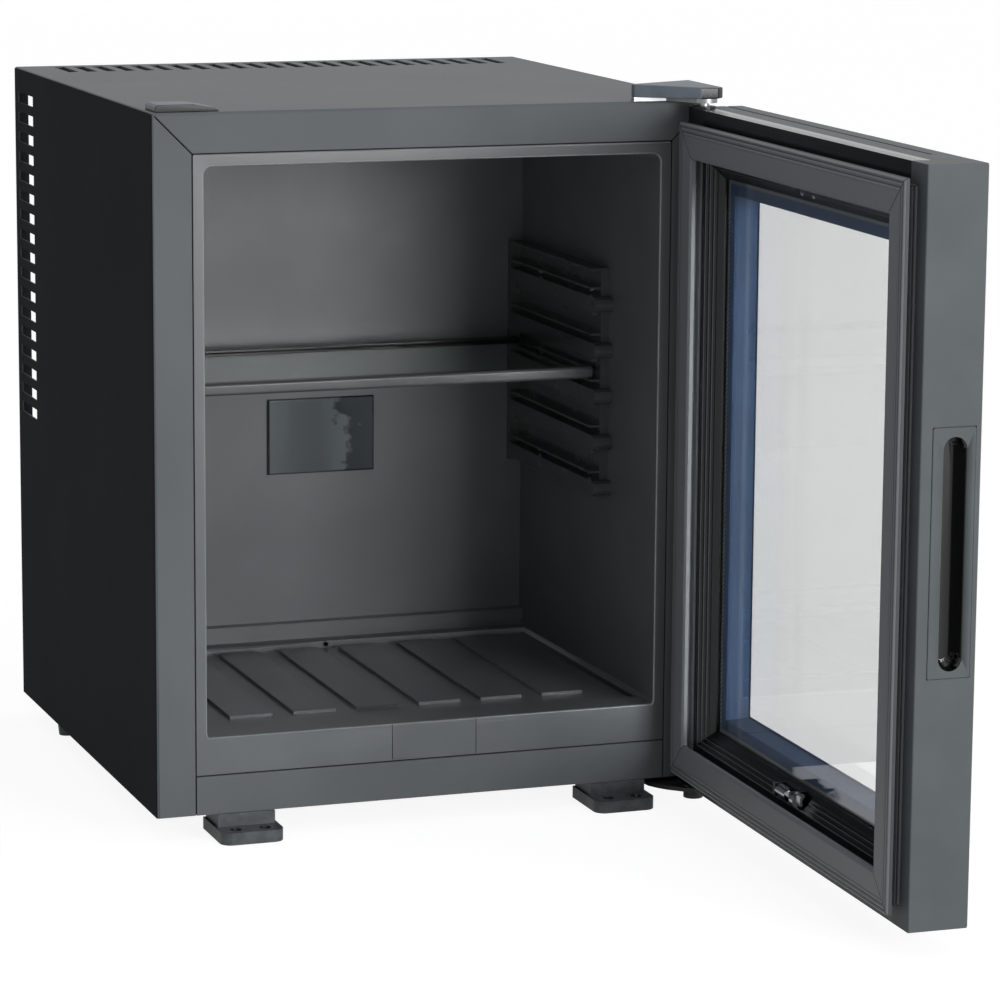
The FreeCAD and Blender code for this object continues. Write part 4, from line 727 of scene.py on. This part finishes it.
down, up, into_panel = (0, 0, -1), (0, 0, 1), (0, -1, 0)
screw_sets = {
    "strap_screws": ("cabinet", 8.8, [((x, 107.3, 182.5), into_panel) for x in (77.5, 158.5)]
                     + [((x, 107.3, 417.5), into_panel) for x in (100.5, 135.5)]),
    "front_foot_screws": ("cabinet", 15.8, [((x, -183, 8.5), up) for x in (-137, 137)]),
    "hinge_screws": ("cabinet", 13.8, [((161.45, -193, 503), down), ((187.95, -190, 503), down),
                                       ((187.95, -176, 503), down), ((171, -178, 14.5), up), ((187, -178, 14.5), up),
                                       ((179, -162, 14.5), up)]),
    "rail_screws": ("cabinet", 5.8, [((156.5 * side, y, z), (side, 0, 0)) for side in (-1, 1) for y in (-90, 15)
                                     for z in (220.7, 354.7)]),
    "door_screws": ("door", 4.5, [((-9.75, -218.15, 456.8), into_panel), ((9.75, -218.15, 456.8), into_panel)]),
}
for node_name, (body, length, seats) in screw_sets.items():
    shape = bmesh.new()
    for seat, direction in seats:
        add_screw(shape, Vector(seat) * mm, direction, length * mm)
    bmesh.ops.recalc_face_normals(shape, faces=shape.faces)
    if body == "door":
        bmesh.ops.transform(shape, verts=shape.verts, matrix=door_open)
    low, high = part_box(node_name)
    xs = [vert.co.x for vert in shape.verts]
    print(node_name, len(seats), "screws, X", round(min(xs) / mm, 1), round(max(xs) / mm, 1), "CAD",
          round(low.x / mm, 1), round(high.x / mm, 1))
    put_in_scene(shape, "cross_" + node_name, body, [screw_steel], [node_name], smooth=30)

# %% [markdown]
# ## Cooling unit
# The unit is welded from steel tube. A tube is bent on a former, so every
# corner is an arc of one radius. Each tube is a curve through its corners.

# %% Bent tubes
def rounded_path(corners, bend, steps=8):
    """The corners joined by straight runs and arcs."""
    corners = [Vector(c) * mm for c in corners]
    path = [corners[0]]
    for before, corner, after in zip(corners, corners[1:], corners[2:]):
        back, ahead = (before - corner).normalized(), (after - corner).normalized()
        half = back.angle(ahead) / 2
        reach = bend / math.tan(half)
        middle = corner + (back + ahead).normalized() * bend / math.sin(half)
        start, end = corner + back * reach - middle, corner + ahead * reach - middle
        path += [middle + start.slerp(end, n / steps).normalized() * bend for n in range(steps + 1)]
    return path + [corners[-1]]


def bent_tube(node_name, radius, bend, runs):
    """A round tube along each run of corners."""
    curve = bpy.data.curves.new("tube_" + node_name, "CURVE")
    curve.dimensions = "3D"
    curve.bevel_depth = radius * mm
    curve.bevel_resolution = 5
    curve.use_fill_caps = True
    for corners in runs:
        path = rounded_path(corners, bend * mm)
        run = curve.splines.new("POLY")
        run.points.add(len(path) - 1)
        for point, place in zip(run.points, path):
            point.co = (*place, 1)
    curve.materials.append(finishes[slot_of[node_name]])
    piece = bpy.data.objects.new("tube_" + node_name, curve)
    bpy.context.scene.collection.objects.link(piece)
    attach(piece, "cabinet")
    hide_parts(node_name)


unit_y, boiler_x = 145, 118
bent_tube("boiler_tube", 6.8, 22, [[(boiler_x, unit_y, 69.5), (boiler_x, unit_y, 455.5), (-128, unit_y, 449.5)]])
bent_tube("evaporator_tube", 4.8, 9.5, [
    [(-121, unit_y, 442.5), (-121, unit_y, 230.5), (-22, unit_y, 230.5), (-22, 93, 230.5)],
    [(22, 93, 230.5), (22, unit_y, 230.5), (22, unit_y, 183.5), (-4, unit_y, 183.5)]])
bent_tube("absorber_coil", 6.8, 13, [
    [(-150, unit_y, 84.2), (-150, unit_y, 109.5), (-20, unit_y, 115.5), (-20, unit_y, 143.5), (-150, unit_y, 149.5),
     (-150, unit_y, 177.5), (-5, unit_y, 183.5)]])
bent_tube("liquid_pipe", 4.8, 9.5, [[(-17.5, unit_y, 55.5), (boiler_x, unit_y, 55.5), (boiler_x, unit_y, 69.5)]])

# %% [markdown]
# The vessel is a tube with two pressed ends welded on, and the welds stand a
# little proud. The jacket is rolled sheet with a bead near each end, packed
# with mineral wool round the boiler.

# %% Vessel, jacket and wool
def turned(node_name, profile, centre, axis, name):
    """A full turn of a closed or end-to-end profile of (place along the axis, radius)."""
    shape = bmesh.new()
    along, out = (Vector((1, 0, 0)), Vector((0, 0, 1))) if axis == "X" else (Vector((0, 0, 1)), Vector((1, 0, 0)))
    centre = Vector(centre) * mm
    points = [shape.verts.new(centre + along * a * mm + out * r * mm) for a, r in profile]
    edges = [shape.edges.new(pair) for pair in zip(points, points[1:])]
    bmesh.ops.spin(shape, geom=points + edges, cent=centre, axis=along, angle=2 * math.pi, steps=48, use_merge=True)
    bmesh.ops.remove_doubles(shape, verts=shape.verts, dist=0.002 * mm)
    bmesh.ops.recalc_face_normals(shape, faces=shape.faces)
    slot = slot_of[node_name]
    put_in_scene(shape, name, "cabinet", [finishes[slot]], [node_name], smooth=30)


def pressed_end(place, depth, radius, way):
    """Points of a dished end, from the middle outwards."""
    return [(place + way * depth * (1 - math.cos(math.radians(a))), radius * math.sin(math.radians(a)))
            for a in range(0, 91, 10)]


weld = [(8.5, 21.2), (9.2, 21.65), (10.2, 21.65), (10.9, 21.2)]
left_end = pressed_end(0, 7, 21.2, 1) + weld
right_end = [(150 - a, r) for a, r in left_end]
turned("absorber_vessel", left_end + right_end[::-1], (-167, unit_y, 63.5), "X", "round_vessel")

bead = [(4, 29.55), (5, 28.9), (7, 28.9), (8, 29.55)]
outside = [(0, 29.0), (0, 29.55)] + bead + [(190 - a, r) for a, r in bead[::-1]] + [(190, 29.55), (190, 29.0)]
turned("boiler_jacket", outside + [(185, 28.65), (5, 28.65), (0, 29.0)], (boiler_x, unit_y, 79.5), "Z",
       "rolled_jacket")
wool_profile = [(0.2, 7.0), (0.2, 28.4), (188.6, 28.4), (189.4, 26.0), (189.8, 18.0), (189.4, 9.0), (188.8, 7.0),
                (0.2, 7.0)]
turned("boiler_insulation", wool_profile, (boiler_x, unit_y, 79.5), "Z", "wool_packing")

# %% [markdown]
# The straps are bands of sheet folded over the tubes, with an ear for a screw
# at each end.

# %% Straps
def strap(node_name, radius, level):
    """A band round the rear of a tube, with two ears on the panel."""
    x, panel, wall, ear, width = boiler_x, 105.8, 1.5, 18, 18
    turns = [math.radians(180 - 7.5 * n) for n in range(25)]
    outer = [(x + (radius + wall) * math.cos(a), unit_y + (radius + wall) * math.sin(a)) for a in turns]
    inner = [(x + radius * math.cos(a), unit_y + radius * math.sin(a)) for a in turns]
    far = radius + wall
    outline = [(x - far - ear, panel), (x - far - ear, panel + wall), (x - far, panel + wall), *outer,
               (x + far, panel + wall), (x + far + ear, panel + wall), (x + far + ear, panel), (x + radius, panel),
               *reversed(inner), (x - radius, panel)]
    shape = bmesh.new()
    face = shape.faces.new([shape.verts.new((a * mm, b * mm, (level - width / 2) * mm)) for a, b in outline])
    raised(shape, [face], (0, 0, width * mm))
    bmesh.ops.recalc_face_normals(shape, faces=shape.faces)
    slot = slot_of[node_name]
    put_in_scene(shape, "folded_" + node_name, "cabinet", [finishes[slot]], [node_name], smooth=30)


strap("boiler_strap", 30, 182.5)
strap("tube_strap", 7, 417.5)

# %% [markdown]
# ## Printed band on the outer pane
# A ceramic ink band hides the pane's bonded edges. It is printed on the inner
# side of the outer pane, so it lies between the panes, thin as paint. The
# inner pane has a line of dots and a band in the same ink, which hide the
# spacer that holds the panes apart. They are modelled where the door is closed
# and turned with it to the open rest place.

# %% Frames round the door, and the bands
def door_frame_shape(outer_margin, inner_margin, near, far):
    """A mitred frame in the open door, between two margins and two setbacks in millimetres."""
    outer_margin, inner_margin, near, far = (limit * mm for limit in (outer_margin, inner_margin, near, far))
    shape = bmesh.new()
    rings = []
    for margin in (outer_margin, inner_margin):
        x = door_half_width - margin
        low, high = door_low + margin, door_high - margin
        corners = [shape.verts.new((a, door_inner_face - near, b))
                   for a, b in ((-x, low), (x, low), (x, high), (-x, high))]
        rings.append([shape.edges.new((corners[n], corners[(n + 1) % 4])) for n in range(4)])
    bmesh.ops.bridge_loops(shape, edges=rings[0] + rings[1])
    raised(shape, shape.faces[:], (0, near - far, 0))
    bmesh.ops.recalc_face_normals(shape, faces=shape.faces)
    bmesh.ops.transform(shape, matrix=door_open, verts=shape.verts)
    return shape


prints = {
    "printed_band": (printed_band, 9, 57.5, 32.75, 32.9),
    "dotted_line": (dotted_ink, 45.2, 48.2, 15.05, 15.2),
    "inner_band": (printed_band, 48.2, 56, 15.05, 15.2),
}
for name, (ink, *limits) in prints.items():
    put_in_scene(door_frame_shape(*limits), name, "door", [ink], smooth=0)
spacer = door_frame_shape(49, 56, 15.3, 32.6)
bevelled(spacer, sharp_edges(spacer, 60), 0.4 * mm)
put_in_scene(spacer, "edge_spacer", "door", [printed_band], ["glass_spacer"])

# %% [markdown]
# ## Floor, world and lamps
# The fridge stands on plain white paper. The paper's own light makes it merge
# with the white of the world, and keeps the shadow under the fridge.

# %% Floor
floor_shape = bmesh.new()
bmesh.ops.create_grid(floor_shape, x_segments=4, y_segments=4, size=8.0)
bmesh.ops.translate(floor_shape, verts=floor_shape.verts, vec=(0, 0, -0.2 * mm))
floor_mesh = bpy.data.meshes.new("floor")
floor_shape.to_mesh(floor_mesh)
floor_shape.free()
floor = bpy.data.objects.new("floor", floor_mesh)
bpy.context.scene.collection.objects.link(floor)

paper_glow_share, mirrored_glow_share = 0.75, 0.35
paper, shader = finish("white_paper", "#f4f4f4", 0.9)
glow = graph_node(paper, "Emission", {"Color": (1, 1, 1, 1), "Strength": 1.2})
rays = graph_node(paper, "LightPath").outputs
seen = calc(paper, "MAXIMUM", rays["Is Camera Ray"], rays["Is Transmission Ray"])
mirrored = calc(paper, "MULTIPLY", rays["Is Glossy Ray"], mirrored_glow_share)
share = calc(paper, "MULTIPLY", calc(paper, "MAXIMUM", seen, mirrored), paper_glow_share)
mixed = graph_node(paper, "MixShader", {0: share, 1: shader.outputs["BSDF"], 2: glow.outputs["Emission"]})
surface = next(node for node in paper.node_tree.nodes if node.type == "OUTPUT_MATERIAL").inputs["Surface"]
feed(paper, mixed.outputs["Shader"], surface)
floor_mesh.materials.append(paper)

# %% [markdown]
# The main lamp stands in front, a little to the right, so it shines past the
# open door onto the left of the back wall. The studio's left side is hung with
# dark cloth, so the left walls stay dark; the camera and the glass see white.

# %% World and lamps
world = bpy.data.worlds.new("studio")
bpy.context.scene.world = world
world.use_nodes = True
world.node_tree.nodes.clear()
ambient_level = 0.4
dark_cloth_level, mirrored_cloth_level = 0.75, 0.45
rays = graph_node(world, "LightPath").outputs
seen = calc(world, "MAXIMUM", rays["Is Camera Ray"], rays["Is Transmission Ray"])
towards = graph_node(world, "TexCoord")
axes = graph_node(world, "SeparateXYZ", {"Vector": towards.outputs["Generated"]}).outputs
cloth = graph_node(world, "MapRange", {
    "Value": axes["X"], "From Min": -0.7, "From Max": 0.1,
    "To Min": blend(world, rays["Is Glossy Ray"], dark_cloth_level, mirrored_cloth_level), "To Max": 1.0},
    interpolation_type="SMOOTHSTEP")
level = blend(world, rays["Is Glossy Ray"], ambient_level, 1.0)
draped = calc(world, "MULTIPLY", level, cloth.outputs[0])
sky = graph_node(world, "Background", {"Color": (1, 1, 1, 1), "Strength": blend(world, seen, draped, 1.0)})
graph_node(world, "OutputWorld", {"Surface": sky.outputs["Background"]})


def soft_box(name, place, aim, size, power):
    """A square studio lamp that looks at a point."""
    data = bpy.data.lights.new(name, "AREA")
    data.shape = "SQUARE"
    data.size = size
    data.energy = power
    lamp = bpy.data.objects.new(name, data)
    bpy.context.scene.collection.objects.link(lamp)
    lamp.location = place
    lamp.rotation_euler = (Vector(aim) - Vector(place)).to_track_quat("-Z", "Y").to_euler()
    return lamp


middle = (0, -0.2, 0.25)
soft_box("main_lamp", (1.35, -3.5, 0.8), middle, 1.3, 76)
soft_box("overhead_lamp", (0.3, -0.4, 2.4), middle, 1.8, 5)
